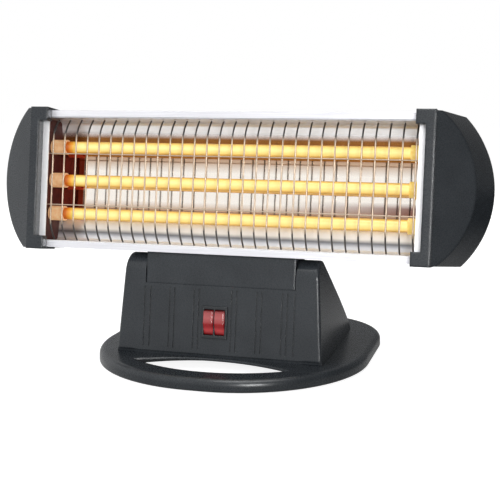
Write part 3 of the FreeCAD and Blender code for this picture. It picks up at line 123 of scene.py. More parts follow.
def add_node(tree: Tree, kind: str, settings: dict[str, Any] | None = None, inputs: Inputs | None = None,
             stops: Stops = ()) -> bpy.types.Node:
    """Add a node with its settings, values and links.

    Args:
        tree: the node tree.
        kind: the node's type name.
        settings: properties of the node itself.
        inputs: for each input, the output socket to link or the value to set.
        stops: for a colour ramp, places from 0 to 1 in order, each with a hex colour or a level from 0 to 1.

    Returns:
        The new node.
    """
    node = tree.nodes.new(kind)
    for name, value in (settings or {}).items():
        setattr(node, name, value)
    for name, value in (inputs or {}).items():
        if isinstance(value, Socket):
            tree.links.new(value, node.inputs[name])
        else:
            node.inputs[name].default_value = value
    if stops:
        elements = node.color_ramp.elements
        while len(elements) < len(stops):
            elements.new(1.0)
        for element, (place, tone) in zip(elements, stops):
            element.position = place
            element.color = to_linear(tone) if isinstance(tone, str) else (tone, tone, tone, 1.0)
    return node


def mottle(tree: Tree, size_mm: float, stretch: Way = EVEN, detail: float = 2.0) -> Socket:
    """Spread an uneven pattern over a piece, in Object coordinates.

    Args:
        tree: the node tree.
        size_mm: the real size of its features.
        stretch: how many times longer the features are along x, y and z.
        detail: the number of finer octaves.

    Returns:
        The pattern's value, about 0.5 on average.
    """
    place = add_node(tree, "ShaderNodeTexCoord").outputs["Object"]
    shrink = tuple(1 / times for times in stretch)
    place = add_node(tree, "ShaderNodeMapping", inputs={"Vector": place, "Scale": shrink}).outputs["Vector"]
    inputs = {"Vector": place, "Scale": per_metre(size_mm), "Detail": detail}
    return add_node(tree, "ShaderNodeTexNoise", inputs=inputs).outputs[0]


def share_along(tree: Tree, way: Way, low_mm: float, high_mm: float) -> Socket:
    """Find how far a point lies along a direction, in Object coordinates.

    Args:
        tree: the node tree.
        way: the direction.
        low_mm: the distance from the origin that gives 0.
        high_mm: the distance that gives 1.

    Returns:
        The share, kept between 0 and 1.
    """
    place = add_node(tree, "ShaderNodeTexCoord").outputs["Object"]
    reach = add_node(tree, "ShaderNodeVectorMath", {"operation": "DOT_PRODUCT"}, {0: place, 1: way})
    inputs = {"Value": reach.outputs["Value"], "From Min": low_mm * MM, "From Max": high_mm * MM}
    return add_node(tree, "ShaderNodeMapRange", inputs=inputs).outputs["Result"]


def uneven_surface(tree: Tree, tones: tuple[str, str], clouds: Socket, gloss: Range, marks: Socket,
                   deep_mm: float, edge_m: Socket | float) -> Inputs:
    """Work out a shader's colour, roughness and normal from two patterns.

    Args:
        tree: the node tree.
        tones: the darkest and the palest colour.
        clouds: the pattern of the colour.
        gloss: the least and the most roughness.
        marks: the pattern of the roughness and of the bump.
        deep_mm: the bump's depth.
        edge_m: the radius in metres to which edges look rounded.

    Returns:
        The inputs of the shader.
    """
    stops = ((PATTERN_LOW, tones[0]), (PATTERN_HIGH, tones[1]))
    colour = add_node(tree, "ShaderNodeValToRGB", inputs={"Fac": clouds}, stops=stops)
    roughness = add_node(tree, "ShaderNodeMapRange", inputs={
        "Value": marks, "From Min": PATTERN_LOW, "From Max": PATTERN_HIGH,
        "To Min": gloss[0], "To Max": gloss[1]})
    edge = add_node(tree, "ShaderNodeBevel", {"samples": EDGE_SAMPLES}, {"Radius": edge_m})
    bump = add_node(tree, "ShaderNodeBump", inputs={
        "Height": marks, "Distance": deep_mm * MM, "Strength": BUMP_STRENGTH,
        "Normal": edge.outputs["Normal"]})
    return {
        "Base Color": colour.outputs["Color"], "Roughness": roughness.outputs["Result"],
        "Normal": bump.outputs["Normal"]}


@dataclass(frozen=True)
class HeadFrame:
    """The head's own frame: across, up its front face and in behind it, leaned back about the tilt axis."""

    tilt_deg: float = 9.0
    pivot_front_mm: float = 45.5
    pivot_height_mm: float = 90.0
    face_above_mm: float = 88.2
    face_before_mm: float = 21.7

    def up(self) -> Way:
        """Return the direction up the front face."""
        lean = math.radians(self.tilt_deg)
        return 0.0, math.sin(lean), math.cos(lean)

    def back(self) -> Way:
        """Return the direction in behind the front face."""
        lean = math.radians(self.tilt_deg)
        return 0.0, math.cos(lean), -math.sin(lean)

    def place(self, across: ArrayLike, height: ArrayLike, depth: ArrayLike) -> np.ndarray:
        """Turn head coordinates into points of the heater: pivot + height * up + depth * back + across.

        Args:
            across: distance to the right of the middle.
            height: distance up from the middle of the face.
            depth: distance behind the face.

        Returns:
            An array of points in millimetres, with x, y and z last.
        """
        across, height, depth = np.broadcast_arrays(across, height, depth)
        from_axis = (depth - self.face_before_mm)[..., None] * np.array(self.back())
        from_axis = from_axis + (height + self.face_above_mm)[..., None] * np.array(self.up())
        spot = from_axis + np.array([0, -self.pivot_front_mm, self.pivot_height_mm])
        spot[..., 0] += across
        return spot

    def distance(self, way: Way) -> float:
        """Return how far the middle of the face lies from the origin along a direction."""
        return float(self.place(0.0, 0.0, 0.0) @ np.array(way))


HEAD = HeadFrame()


@dataclass(frozen=True)
class Finish:
    """A surface finish that becomes one material, named for what the real surface is."""

    name: str

    def paint(self, tree: Tree) -> Inputs:
        """Return the inputs of the shader; each kind of finish works out its own."""
        raise NotImplementedError

    def material(self) -> bpy.types.Material:
        """Make the finish's material at its first use.

        Returns:
            The material, the same one for all pieces.
        """
        made = bpy.data.materials.get(self.name)
        if made is None:
            made = bpy.data.materials.new(self.name)
            made.use_nodes = True
            tree = made.node_tree
            tree.nodes.clear()
            shader = add_node(tree, "ShaderNodeBsdfPrincipled", inputs=self.paint(tree))
            add_node(tree, "ShaderNodeOutputMaterial", inputs={"Surface": shader.outputs["BSDF"]})
        return made


@dataclass(frozen=True)
class MouldedPlastic(Finish):
    """Plastic from a spark-eroded mould: an even fine grain, slightly cloudy gloss and colour.

    The real grain is about 0.1 mm wide. It is drawn several times coarser so that it shows.
    """

    tones: tuple[str, str]
    gloss: Range
    sheen: float = 0.5
    grain_mm: float = 0.7
    grain_deep_mm: float = 0.02
    edge_mm: float = 1.3
    cloud_mm: float = 28.0
    ior: float = 1.5

    def paint(self, tree: Tree) -> Inputs:
        """Cloud the colour over a few centimetres and add the mould's grain, whose pits swallow some sheen.

        Args:
            tree: the material's node tree.

        Returns:
            The inputs of the shader.
        """
        clouds = mottle(tree, self.cloud_mm)
        grain = mottle(tree, self.grain_mm)
        surface = uneven_surface(
            tree, self.tones, clouds, self.gloss, grain, self.grain_deep_mm, self.edge(tree))
        return surface | {"IOR": self.ior, "Specular IOR Level": self.sheen}

    def edge(self, tree: Tree) -> Socket | float:
        """Return the radius of the edges in metres."""
        return self.edge_mm * MM


@dataclass(frozen=True)
class HoodPlastic(MouldedPlastic):
    """The hood's plastic: round at its outer corners, with crisp grooves between them."""

    crisp_mm: float = 0.4
    crisp_to_mm: float = 82.0
    round_from_mm: float = 88.0

    def edge(self, tree: Tree) -> Socket | float:
        """Grow the edges' radius with the distance from the middle.

        Args:
            tree: the material's node tree.

        Returns:
            The radius in metres.
        """
        place = add_node(tree, "ShaderNodeTexCoord").outputs["Object"]
        across = add_node(tree, "ShaderNodeSeparateXYZ", inputs={0: place}).outputs["X"]
        away = add_node(tree, "ShaderNodeMath", {"operation": "ABSOLUTE"}, {0: across}).outputs[0]
        radius = add_node(tree, "ShaderNodeMapRange", inputs={
            "Value": away, "From Min": self.crisp_to_mm * MM, "From Max": self.round_from_mm * MM,
            "To Min": self.crisp_mm * MM, "To Max": self.edge_mm * MM})
        return radius.outputs["Result"]


@dataclass(frozen=True)
class BareMetal(Finish):
    """Bare metal, drawn or rolled along one way: long faint streaks in its gloss and colour.

    Real rolling marks are some hundredths of a millimetre wide. They are drawn coarser so that they show.
    """

    tones: tuple[str, str]
    gloss: Range
    streak_mm: float = 0.8
    stretch: Way = (60, 1, 1)
    streak_deep_mm: float = 0.004
    edge_mm: float = 0.3
    metal: float = 1.0

    def paint(self, tree: Tree) -> Inputs:
        """Draw streaks along the rolling direction in colour, gloss and height.

        Args:
            tree: the material's node tree.

        Returns:
            The inputs of the shader.
        """
        streaks = mottle(tree, self.streak_mm, self.stretch)
        surface = uneven_surface(
            tree, self.tones, streaks, self.gloss, streaks, self.streak_deep_mm, self.edge_mm * MM)
        return surface | {"Metallic": self.metal}


@dataclass(frozen=True)
class PaintedReflectionMirror(Finish):
    """Aluminium sheet, polished on its flat back and satin round its bends, with brown painted reflections of
    the tubes in its colour.

    Its tables give the tone or the level at heights from the middle of the head's face. Real polishing lines
    are finer than a hundredth of a millimetre. They are drawn coarser so that they show.
    """

    painted_reflections: Stops
    rightward_brown: str
    rightward_brown_band: Stops
    rightward_brown_from_mm: float
    rightward_brown_to_mm: float
    stain_and_reflection: str
    end_plate_reflection_band: Stops
    end_plate_reflection_from_mm: float
    end_plate_reflection_to_mm: float
    half_mm: float = 62.5
    metal: Stops = (
        (-62.5, 0.4), (-56.0, 0.4), (-52.0, 0.69), (-41.0, 0.69), (-35.0, 0.94),
        (35.0, 0.94), (41.0, 0.8), (50.0, 0.8), (54.0, 0.4), (62.5, 0.4))
    gloss: Stops = (
        (-62.5, 0.23), (-41.0, 0.23), (-35.0, 0.065), (35.0, 0.065), (41.0, 0.23), (62.5, 0.23))
    streak_mm: float = 0.7
    stretch: Way = (60, 1, 1)
    streak_deep_mm: float = 0.001

    def by_height(self, tree: Tree, height: Socket, table: Stops) -> Socket:
        """Read a table at each point of the sheet.

        Args:
            tree: the material's node tree.
            height: the height on the head as a share of the sheet's.
            table: heights in millimetres with their tones or levels.

        Returns:
            The tone or the level.
        """
        stops = tuple(((spot + self.half_mm) / (2 * self.half_mm), tone) for spot, tone in table)
        return add_node(tree, "ShaderNodeValToRGB", inputs={"Fac": height}, stops=stops).outputs["Color"]

    def overlaid(self, tree: Tree, tint: Socket, stain_and_reflection: str, band: Socket, reach: Socket) -> Socket:
        """Lay a colour over the sheet where a band and a reach across it meet.

        Args:
            tree: the material's node tree.
            tint: the sheet's colour.
            stain_and_reflection: the hex colour laid over.
            band: how strong the colour laid over is at each height.
            reach: how strong it is from side to side.

        Returns:
            The colour with the overlay.
        """
        share = add_node(tree, "ShaderNodeMath", {"operation": "MULTIPLY"}, {0: band, 1: reach}).outputs[0]
        inputs = {MIX_SHARE: share, MIX_LOW: tint, MIX_HIGH: to_linear(stain_and_reflection)}
        return add_node(tree, "ShaderNodeMix", COLOURS, inputs).outputs[MIX_RESULT]

    def paint(self, tree: Tree) -> Inputs:
        """Tint the sheet by height with painted reflections and shade, with a red-brown band that grows to
        the right and a painted reflection of the end plate at the left end.

        Args:
            tree: the material's node tree.

        Returns:
            The inputs of the shader.
        """
        middle = HEAD.distance(HEAD.up())
        height = share_along(tree, HEAD.up(), middle - self.half_mm, middle + self.half_mm)
        # Painted reflections and painted shade of the sheet, by height on the head's face
        tint = self.by_height(tree, height, self.painted_reflections)
        # A red-brown band between the middle and bottom tubes, laid on more strongly to the right
        right = share_along(tree, RIGHT, self.rightward_brown_from_mm, self.rightward_brown_to_mm)
        tint = self.overlaid(tree, tint, self.rightward_brown, self.by_height(tree, height, self.rightward_brown_band), right)
        # Painted reflection of the left end plate: a dark red-brown block at the sheet's left end
        left = share_along(tree, LEFT, self.end_plate_reflection_from_mm, self.end_plate_reflection_to_mm)
        tint = self.overlaid(tree, tint, self.stain_and_reflection, self.by_height(tree, height, self.end_plate_reflection_band), left)
        bump = add_node(tree, "ShaderNodeBump", inputs={
            "Height": mottle(tree, self.streak_mm, self.stretch), "Distance": self.streak_deep_mm * MM,
            "Strength": BUMP_STRENGTH})
        return {
            "Base Color": tint, "Metallic": self.by_height(tree, height, self.metal),
            "Roughness": self.by_height(tree, height, self.gloss), "Normal": bump.outputs["Normal"]}


@dataclass(frozen=True)
class PaintedLightChrome(Finish):
    """Chromed wire with the tubes' light painted straw along its front, and painted shade, dull and dark,
    behind and at its ends.
    """

    painted_tube_light: str
    painted_shade: str
    painted_tube_light_to_mm: float
    painted_shade_from_mm: float
    deep_mm: float = 5.5
    fade_mm: float = 0.2
    patch_mm: float = 3.0
    gloss: Range = (0.36, 0.46)
    metal: float = 0.5

    def paint(self, tree: Tree) -> Inputs:
        """Paint the tubes' light on the wire's front and shade behind it and at its ends, by its height on
        the head's face and its depth behind it, and dull it in patches.

        Args:
            tree: the material's node tree.

        Returns:
            The inputs of the shader.
        """
        middle = HEAD.distance(HEAD.up())
        axis = HEAD.distance(HEAD.back()) + self.deep_mm
        above = share_along(tree, HEAD.up(), middle + self.painted_tube_light_to_mm, middle + self.painted_shade_from_mm)
        below = share_along(tree, HEAD.up(), middle - self.painted_tube_light_to_mm, middle - self.painted_shade_from_mm)
        behind = share_along(tree, HEAD.back(), axis, axis + self.fade_mm)
        # Painted shade beyond the straight stretch and behind the wire's axis; painted tube light elsewhere
        ends = add_node(tree, "ShaderNodeMath", {"operation": "MAXIMUM"}, {0: above, 1: below}).outputs[0]
        painted_shade = add_node(tree, "ShaderNodeMath", {"operation": "MAXIMUM"}, {0: ends, 1: behind}).outputs[0]
        tint = add_node(tree, "ShaderNodeMix", COLOURS, {
            MIX_SHARE: painted_shade, MIX_LOW: to_linear(self.painted_tube_light), MIX_HIGH: to_linear(self.painted_shade)})
        roughness = add_node(tree, "ShaderNodeMapRange", inputs={
            "Value": mottle(tree, self.patch_mm), "From Min": PATTERN_LOW, "From Max": PATTERN_HIGH,
            "To Min": self.gloss[0], "To Max": self.gloss[1]})
        return {
            "Base Color": tint.outputs[MIX_RESULT], "Roughness": roughness.outputs["Result"],
            "Metallic": self.metal}


@dataclass(frozen=True)
class EndPlateMetal(Finish):
    """Folded plate with a bright strip along the window and a heat-darkened inside behind it."""

    strip: str
    inside: tuple[str, str]
    rear: str
    strip_deep_mm: float
    rear_deep_mm: float
    fade_mm: float = 0.1
    patch_mm: float = 12.0
    patch_range: Range = (0.35, 0.65)
    gloss: Range = (0.4, 0.65)
    metal: float = 0.25

    def paint(self, tree: Tree) -> Inputs:
        """Part the strip, the inside and the rear edge by the depth behind the head's front face.

        Args:
            tree: the material's node tree.

        Returns:
            The inputs of the shader.
        """
        face = HEAD.distance(HEAD.back())
        strip_end = face + self.strip_deep_mm
        rear_start = face + self.rear_deep_mm
        behind = share_along(tree, HEAD.back(), strip_end, strip_end + self.fade_mm)
        hidden = share_along(tree, HEAD.back(), rear_start, rear_start + self.fade_mm)
        stops = tuple(zip(self.patch_range, self.inside))
        stain_and_reflection = add_node(tree, "ShaderNodeValToRGB", inputs={"Fac": mottle(tree, self.patch_mm)}, stops=stops)
        front = add_node(tree, "ShaderNodeMix", COLOURS, {
            MIX_SHARE: behind, MIX_LOW: to_linear(self.strip), MIX_HIGH: stain_and_reflection.outputs["Color"]})
        tint = add_node(tree, "ShaderNodeMix", COLOURS, {
            MIX_SHARE: hidden, MIX_LOW: front.outputs[MIX_RESULT], MIX_HIGH: to_linear(self.rear)})
        roughness = add_node(tree, "ShaderNodeMapRange", inputs={
            "Value": behind, "To Min": self.gloss[0], "To Max": self.gloss[1]})
        return {
            "Base Color": tint.outputs[MIX_RESULT], "Roughness": roughness.outputs["Result"],
            "Metallic": self.metal}


@dataclass(frozen=True)
class GlowingQuartz(Finish):
    """Milky quartz lit by the hot coil inside: yellow in front, with painted shade that turns it orange at
    its limbs, red at its left end.

    The coil's turns are about 2.5 mm apart and melt together in the render, so the bands are drawn coarser.
    """

    limbs: Stops
    ends: Stops
    full_mm: float
    cold_mm: float
    strength: float
    tube_pitch_mm: float = 34.0
    radius_mm: float = 6.0
    band_mm: float = 16.34
    band_wobble: float = 1.5
    band_detail: float = 2.0
    band_power: Range = (0.9, 1.06)
    cooling_least: float = 0.001
    roughness: float = 0.25

    def limb(self, tree: Tree, spot: Socket) -> Socket:
        """Find how far up or down from its tube's axis a point lies, as a share of the tube's radius.

        The tubes are evenly spaced, so the height on the head is wrapped to one pitch about the middle tube.

        Args:
            tree: the material's node tree.
            spot: the point in Object coordinates.

        Returns:
            The share, 0 along the middle and 1 at the limbs.
        """
        middle = HEAD.distance(HEAD.up())
        half = self.tube_pitch_mm / 2
        height = add_node(tree, "ShaderNodeVectorMath", {"operation": "DOT_PRODUCT"}, {0: spot, 1: HEAD.up()})
        wrapped = add_node(tree, "ShaderNodeMath", {"operation": "WRAP"}, {
            0: height.outputs["Value"], 1: (middle + half) * MM, 2: (middle - half) * MM}).outputs[0]
        above = add_node(tree, "ShaderNodeMath", {"operation": "SUBTRACT"}, {0: wrapped, 1: middle * MM})
        away = add_node(tree, "ShaderNodeMath", {"operation": "ABSOLUTE"}, {0: above.outputs[0]})
        inputs = {0: away.outputs[0], 1: self.radius_mm * MM}
        return add_node(tree, "ShaderNodeMath", {"operation": "DIVIDE"}, inputs).outputs[0]

    def paint(self, tree: Tree) -> Inputs:
        """Mix the colour round the tube, with painted shade toward its limbs, with that of its left end, and
        band it faintly with the coil's turns.

        Args:
            tree: the material's node tree.

        Returns:
            The inputs of the shader.
        """
        spot = add_node(tree, "ShaderNodeTexCoord").outputs["Object"]
        limb = self.limb(tree, spot)
        cooling = share_along(tree, LEFT, self.full_mm, self.cold_mm)
        inputs = {0: cooling, 1: self.cooling_least}
        at_end = add_node(tree, "ShaderNodeMath", {"operation": "GREATER_THAN"}, inputs).outputs[0]
        # Painted shade: the tube darkens to orange toward its upper and lower limbs
        front = add_node(tree, "ShaderNodeValToRGB", inputs={"Fac": limb}, stops=self.limbs)
        end = add_node(tree, "ShaderNodeValToRGB", inputs={"Fac": cooling}, stops=self.ends)
        inputs = {MIX_SHARE: at_end, MIX_LOW: front.outputs["Color"], MIX_HIGH: end.outputs["Color"]}
        colour = add_node(tree, "ShaderNodeMix", COLOURS, inputs).outputs[MIX_RESULT]
        bands = add_node(tree, "ShaderNodeTexWave", {"bands_direction": "X"}, {
            "Vector": spot, "Scale": per_metre(self.band_mm) * WAVE_LENGTH, "Distortion": self.band_wobble,
            "Detail": self.band_detail, "Detail Scale": self.band_wobble}).outputs["Fac"]
        least, most = self.band_power
        power = add_node(tree, "ShaderNodeMapRange", inputs={
            "Value": bands, "To Min": least * self.strength, "To Max": most * self.strength})
        return {
            "Base Color": colour, "Emission Color": colour, "Emission Strength": power.outputs["Result"],
            "Roughness": self.roughness}


@dataclass(frozen=True)
class HotWire(Finish):
    """Resistance wire at red-yellow heat under a thin oxide."""

    heat: tuple[str, str]
    oxide: str
    patch_mm: float = 6.0
    strength: float = 1.0
    roughness: float = 0.6

    def paint(self, tree: Tree) -> Inputs:
        """Vary the heat along the wire.

        Args:
            tree: the material's node tree.

        Returns:
            The inputs of the shader.
        """
        stops = ((PATTERN_LOW, self.heat[0]), (PATTERN_HIGH, self.heat[1]))
        heat = add_node(tree, "ShaderNodeValToRGB", inputs={"Fac": mottle(tree, self.patch_mm)}, stops=stops)
        return {
            "Emission Color": heat.outputs["Color"], "Emission Strength": self.strength,
            "Base Color": to_linear(self.oxide), "Metallic": 1.0, "Roughness": self.roughness}


@dataclass(frozen=True)
class FiredClay(Finish):
    """Unglazed ceramic: tan, matt, with fine pores, heat stains and a painted glow for the tubes' light.

    Real pores are about 0.1 mm wide. They are drawn coarser so that they show.
    """

    tones: tuple[str, str]
    glow: float
    stain_mm: float = 5.0
    stain_detail: float = 4.0
    pore_mm: float = 0.6
    pore_deep_mm: float = 0.05
    gloss: Range = (0.65, 0.9)
    edge_mm: float = 0.6

    def paint(self, tree: Tree) -> Inputs:
        """Stain the colour over millimetres, pit the surface and paint the tube's light on as a glow in the
        clay's colour.

        Args:
            tree: the material's node tree.

        Returns:
            The inputs of the shader.
        """
        stains = mottle(tree, self.stain_mm, detail=self.stain_detail)
        pores = mottle(tree, self.pore_mm)
        surface = uneven_surface(
            tree, self.tones, stains, self.gloss, pores, self.pore_deep_mm, self.edge_mm * MM)
        # Painted light: the clay glows in its own colour for the light of the tubes
        return surface | {"Emission Color": surface["Base Color"], "Emission Strength": self.glow}


@dataclass(frozen=True)
class ClearRed(Finish):
    """Red polycarbonate with a polished skin over a signal lamp, whose glow paints a highlight, shade and a
    pale reflection up the rocker.
    """

    tones: tuple[str, str]
    glow: Stops
    strength: float
    cloud_mm: float = 7.0
    ripple_mm: float = 3.0
    ripple_deep_mm: float = 0.02
    gloss: Range = (0.16, 0.24)
    edge_mm: float = 2.6
    scatter: float = 0.2
    scatter_mm: Way = (2.0, 0.3, 0.2)
    ior: float = 1.58

    def paint(self, tree: Tree) -> Inputs:
        """Cloud the depth of the red, let light scatter under the skin and paint highlight, shade and
        reflection by height as the lamp's glow.

        Args:
            tree: the material's node tree.

        Returns:
            The inputs of the shader.
        """
        low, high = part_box("rocker_left")
        rise = share_along(tree, UP, low.z / MM, high.z / MM)
        # Painted light by height: a glint on the pressed end, shade under the ridge, a pale reflection on the
        # upper slope
        lamp = add_node(tree, "ShaderNodeValToRGB", inputs={"Fac": rise}, stops=self.glow)
        clouds = mottle(tree, self.cloud_mm)
        ripples = mottle(tree, self.ripple_mm)
        surface = uneven_surface(
            tree, self.tones, clouds, self.gloss, ripples, self.ripple_deep_mm, self.edge_mm * MM)
        return surface | {
            "Emission Color": lamp.outputs["Color"], "Emission Strength": self.strength,
            "Subsurface Weight": self.scatter, "Subsurface Radius": self.scatter_mm, "Subsurface Scale": MM,
            "IOR": self.ior}


# Tones of the mirror's sheet, which paint its reflections and its shade, and the heights from the middle of
# the face where each one lies
POLISHED, BRIGHT, COOL = "#f8f2ea", "#f6f7f9", "#d0d3da"
# STRAW and the browns are painted reflections of the tubes; SHADED is painted shade
SHADED, STRAW, TUBE_REFLECTION_BROWN = "#76777c", "#c6a88e", "#94602c"
MIRROR_PAINTED_REFLECTIONS: Stops = (
    (-62.5, BRIGHT), (-56.0, COOL), (-52.0, SHADED), (-48.0, POLISHED), (-36.0, POLISHED), (-26.0, STRAW),
    (-17.5, POLISHED), (12.0, POLISHED), (24.0, STRAW), (34.0, TUBE_REFLECTION_BROWN), (46.0, TUBE_REFLECTION_BROWN), (52.5, BRIGHT),
    (58.0, BRIGHT), (62.5, COOL),
)
# Heights of the red-brown band between the middle and bottom tubes
RIGHTWARD_BROWN_BAND: Stops = ((-27.0, 0.0), (-23.0, 1.0), (-17.5, 1.0), (-12.0, 0.0))
# Heights of the painted reflection of the left end plate
END_PLATE_REFLECTION_BAND: Stops = ((-28.0, 0.0), (-26.5, 1.0), (30.0, 1.0), (32.0, 0.0))
BLACK_TONES = ("#23272b", "#2b2f33")
BLACK_GLOSS: Range = (0.24, 0.31)
# Painted light up the rockers as the lamp's glow: a painted glint on the pressed end, painted shade under the
# ridge and a painted pale reflection on the upper slope
ROCKER_PAINTED_LIGHT: Stops = (
    (0.0, "#5a0a0e"), (0.2, "#d8484c"), (0.36, "#8e1018"), (0.46, "#a01c22"), (0.72, "#c87474"),
    (0.9, "#b86060"), (1.0, "#4a1618"))
# Painted shade round the tubes: yellow along the middle, orange at the limbs
QUARTZ_LIMB_SHADE: Stops = ((0.0, "#f4de92"), (0.66, "#ecce78"), (0.92, "#d2a248"), (1.0, "#9c6018"))
QUARTZ_ENDS: Stops = ((0.0, "#f0cc60"), (0.3, "#d89430"), (0.6, "#b85c18"), (1.0, "#8c3a10"))


class Coat(Enum):
    """The finishes of the heater's pieces."""

    # A blue-black satin skin whose rounded edges catch a soft line of light
    BLACK_PLASTIC = MouldedPlastic(
        "moulded_black_polypropylene", BLACK_TONES, BLACK_GLOSS, sheen=0.4, edge_mm=3.2)
    # The same skin, with grooves that stay dark and sharp
    HOOD_PLASTIC = HoodPlastic(
        "moulded_black_polypropylene_hood", BLACK_TONES, BLACK_GLOSS, sheen=0.4, edge_mm=2.4)
    # A little darker and duller than the skin around it
    SWITCH_BLACK = MouldedPlastic(
        "moulded_black_nylon_switch", ("#1f2225", "#282b2e"), gloss=(0.34, 0.44), sheen=0.4)
    # Deep wet red with a painted pale highlight at the ridge
    RED_ROCKER = ClearRed("clear_red_polycarbonate", ("#5a0a0c", "#780e12"), ROCKER_PAINTED_LIGHT, strength=0.45)
    # Dead matt black with a dusty grain
    RUBBER = MouldedPlastic(
        "moulded_black_rubber", ("#1b1b1c", "#242425"), gloss=(0.75, 0.9), sheen=0.3,
        grain_mm=1.2, grain_deep_mm=0.05)
    # Waxy off-white
    NYLON = MouldedPlastic("moulded_white_nylon", ("#cfccc0", "#dedbd0"), gloss=(0.4, 0.5))
    # Cloudy grey plating with soft highlights
    ZINC = BareMetal(
        "zinc_plated_steel_screw", ("#9c9c9a", "#bcbcb8"), gloss=(0.3, 0.42), streak_mm=1.5, stretch=EVEN)
    # Fine turning marks that run round the pins
    STEEL = BareMetal(
        "turned_steel", ("#8e8f92", "#b4b5b8"), gloss=(0.2, 0.34), streak_mm=0.6, stretch=(1, 8, 8))
    # Warm yellow strip with marks of the rolling
    BRASS = BareMetal(
        "stamped_brass", ("#b08a3e", "#cfa95a"), gloss=(0.28, 0.42), streak_mm=1.0, stretch=(1, 1, 12))
    # Dull black paint with a slight orange peel
    PAINTED_STEEL = MouldedPlastic(
        "heat_proof_painted_steel", ("#26282c", "#2e3034"), gloss=(0.4, 0.52), sheen=0.3,
        grain_mm=1.6, grain_deep_mm=0.04)
    # Bright sheet that doubles the tubes and the wires, with painted brown reflections of the tubes, a
    # red-brown band to the right and a painted reflection of the end plate at its left end
    MIRROR = PaintedReflectionMirror(
        "polished_aluminium_mirror", MIRROR_PAINTED_REFLECTIONS,
        rightward_brown="#6e2c16", rightward_brown_band=RIGHTWARD_BROWN_BAND, rightward_brown_from_mm=40, rightward_brown_to_mm=200,
        stain_and_reflection="#a84a3a", end_plate_reflection_band=END_PLATE_REFLECTION_BAND, end_plate_reflection_from_mm=165, end_plate_reflection_to_mm=166)
    # Silvery white with a broad soft sheen
    BRIGHT_ALUMINIUM = BareMetal(
        "bright_anodised_aluminium_rail", ("#dadae0", "#e8e8ec"), gloss=(0.3, 0.4), metal=0.5)
    # A white line beside the window before a dark brown-red inside
    END_PLATE = EndPlateMetal(
        "folded_end_plate_bright_strip", strip="#f6f6f8", inside=("#3a1210", "#52201a"), rear="#2b2c2e",
        strip_deep_mm=1.3, rear_deep_mm=45)
    # Pale yellow rods of light with painted shade that darkens them to orange at their limbs
    HOT_QUARTZ = GlowingQuartz(
        "milky_quartz_glowing", QUARTZ_LIMB_SHADE, QUARTZ_ENDS, full_mm=165, cold_mm=178, strength=0.4)
    # Bright orange thread inside the tubes
    HOT_WIRE = HotWire("glowing_resistance_wire", heat=("#ff8a1e", "#ffd060"), oxide="#4a3a30")
    # Chalky tan, with a painted glow for the light of the tubes
    CERAMIC = FiredClay("unglazed_tan_ceramic", ("#cf9c6c", "#e6bc8e"), glow=0.45)
    # The same clay at the end, its colour painted the tubes' yellow light, with a painted glow
    LIT_CERAMIC = FiredClay("unglazed_ceramic_painted_tube_light", ("#e8c25c", "#f6d98a"), glow=0.45)
    # Wire with the tubes' straw light painted on in front of them and painted grey shade at its bent ends and
    # behind
    CHROME_WIRE = PaintedLightChrome(
        "chromed_steel_wire_painted_light", painted_tube_light="#b8a490", painted_shade="#4c4a4a", painted_tube_light_to_mm=39, painted_shade_from_mm=50)


def closed_faces(rows: int, ring: int, start: int) -> list[list[int]]:
    """Join a stack of closed rings by quads, with a lid on the first ring and on the last.

    Args:
        rows: the number of rings.
        ring: the number of points in each.
        start: the number of the first point.

    Returns:
        The point numbers of each face.
    """
    index = start + np.arange(rows * ring).reshape(rows, ring)
    after = np.roll(index, -1, axis=1)
    quads = np.stack([index[:-1], after[:-1], after[1:], index[1:]], axis=-1).reshape(-1, 4)
    return [*quads.tolist(), index[0, ::-1].tolist(), index[-1].tolist()]


def sweep(path: np.ndarray, side: ArrayLike, radius_mm: float, ring: int) -> np.ndarray:
    """Carry a circle along a path, square to it: each ring is centre + radius * (cos * across - sin * up).

    Args:
        path: the points of the middle line.
        side: directions that lie off the path, one for all points or one for each.
        radius_mm: the circle's radius.
        ring: the number of points in a ring.

    Returns:
        Points with one row for each point of the path.
    """
    ahead = np.gradient(path, axis=0)
    up = np.cross(ahead, np.broadcast_to(side, path.shape))
    up /= np.linalg.norm(up, axis=1, keepdims=True)
    across = np.cross(up, ahead)
    across /= np.linalg.norm(across, axis=1, keepdims=True)
    turn = np.linspace(0, 2 * np.pi, ring, endpoint=False)[None, :, None]
    circle = np.cos(turn) * across[:, None] - np.sin(turn) * up[:, None]
    return path[:, None] + radius_mm * circle


def make_piece(name: str, stacks: list[np.ndarray], coat: Coat) -> bpy.types.Object:
    """Make one object of closed stacks of rings, smooth but for its corners.

    Args:
        name: the object's name.
        stacks: for each stack, points in millimetres by ring and by place in the ring.
        coat: its finish.

    Returns:
        The object, at the origin.
    """
    counts = [points.shape[0] * points.shape[1] for points in stacks]
    starts = np.cumsum([0, *counts[:-1]])
    faces = [face for points, start in zip(stacks, starts) for face in closed_faces(*points.shape[:2], start)]
    spots = np.concatenate([points.reshape(-1, 3) for points in stacks]) * MM
    mesh = bpy.data.meshes.new(name)
    mesh.from_pydata(spots.tolist(), [], faces)
    mesh.shade_smooth()
    mesh.set_sharp_from_angle(angle=math.radians(SHARP_DEG))
    mesh.materials.append(coat.value.material())
    piece = bpy.data.objects.new(name, mesh)
    bpy.context.scene.collection.objects.link(piece)
    log.info("%s: %d faces, %s", name, len(faces), coat.value.name)
    return piece


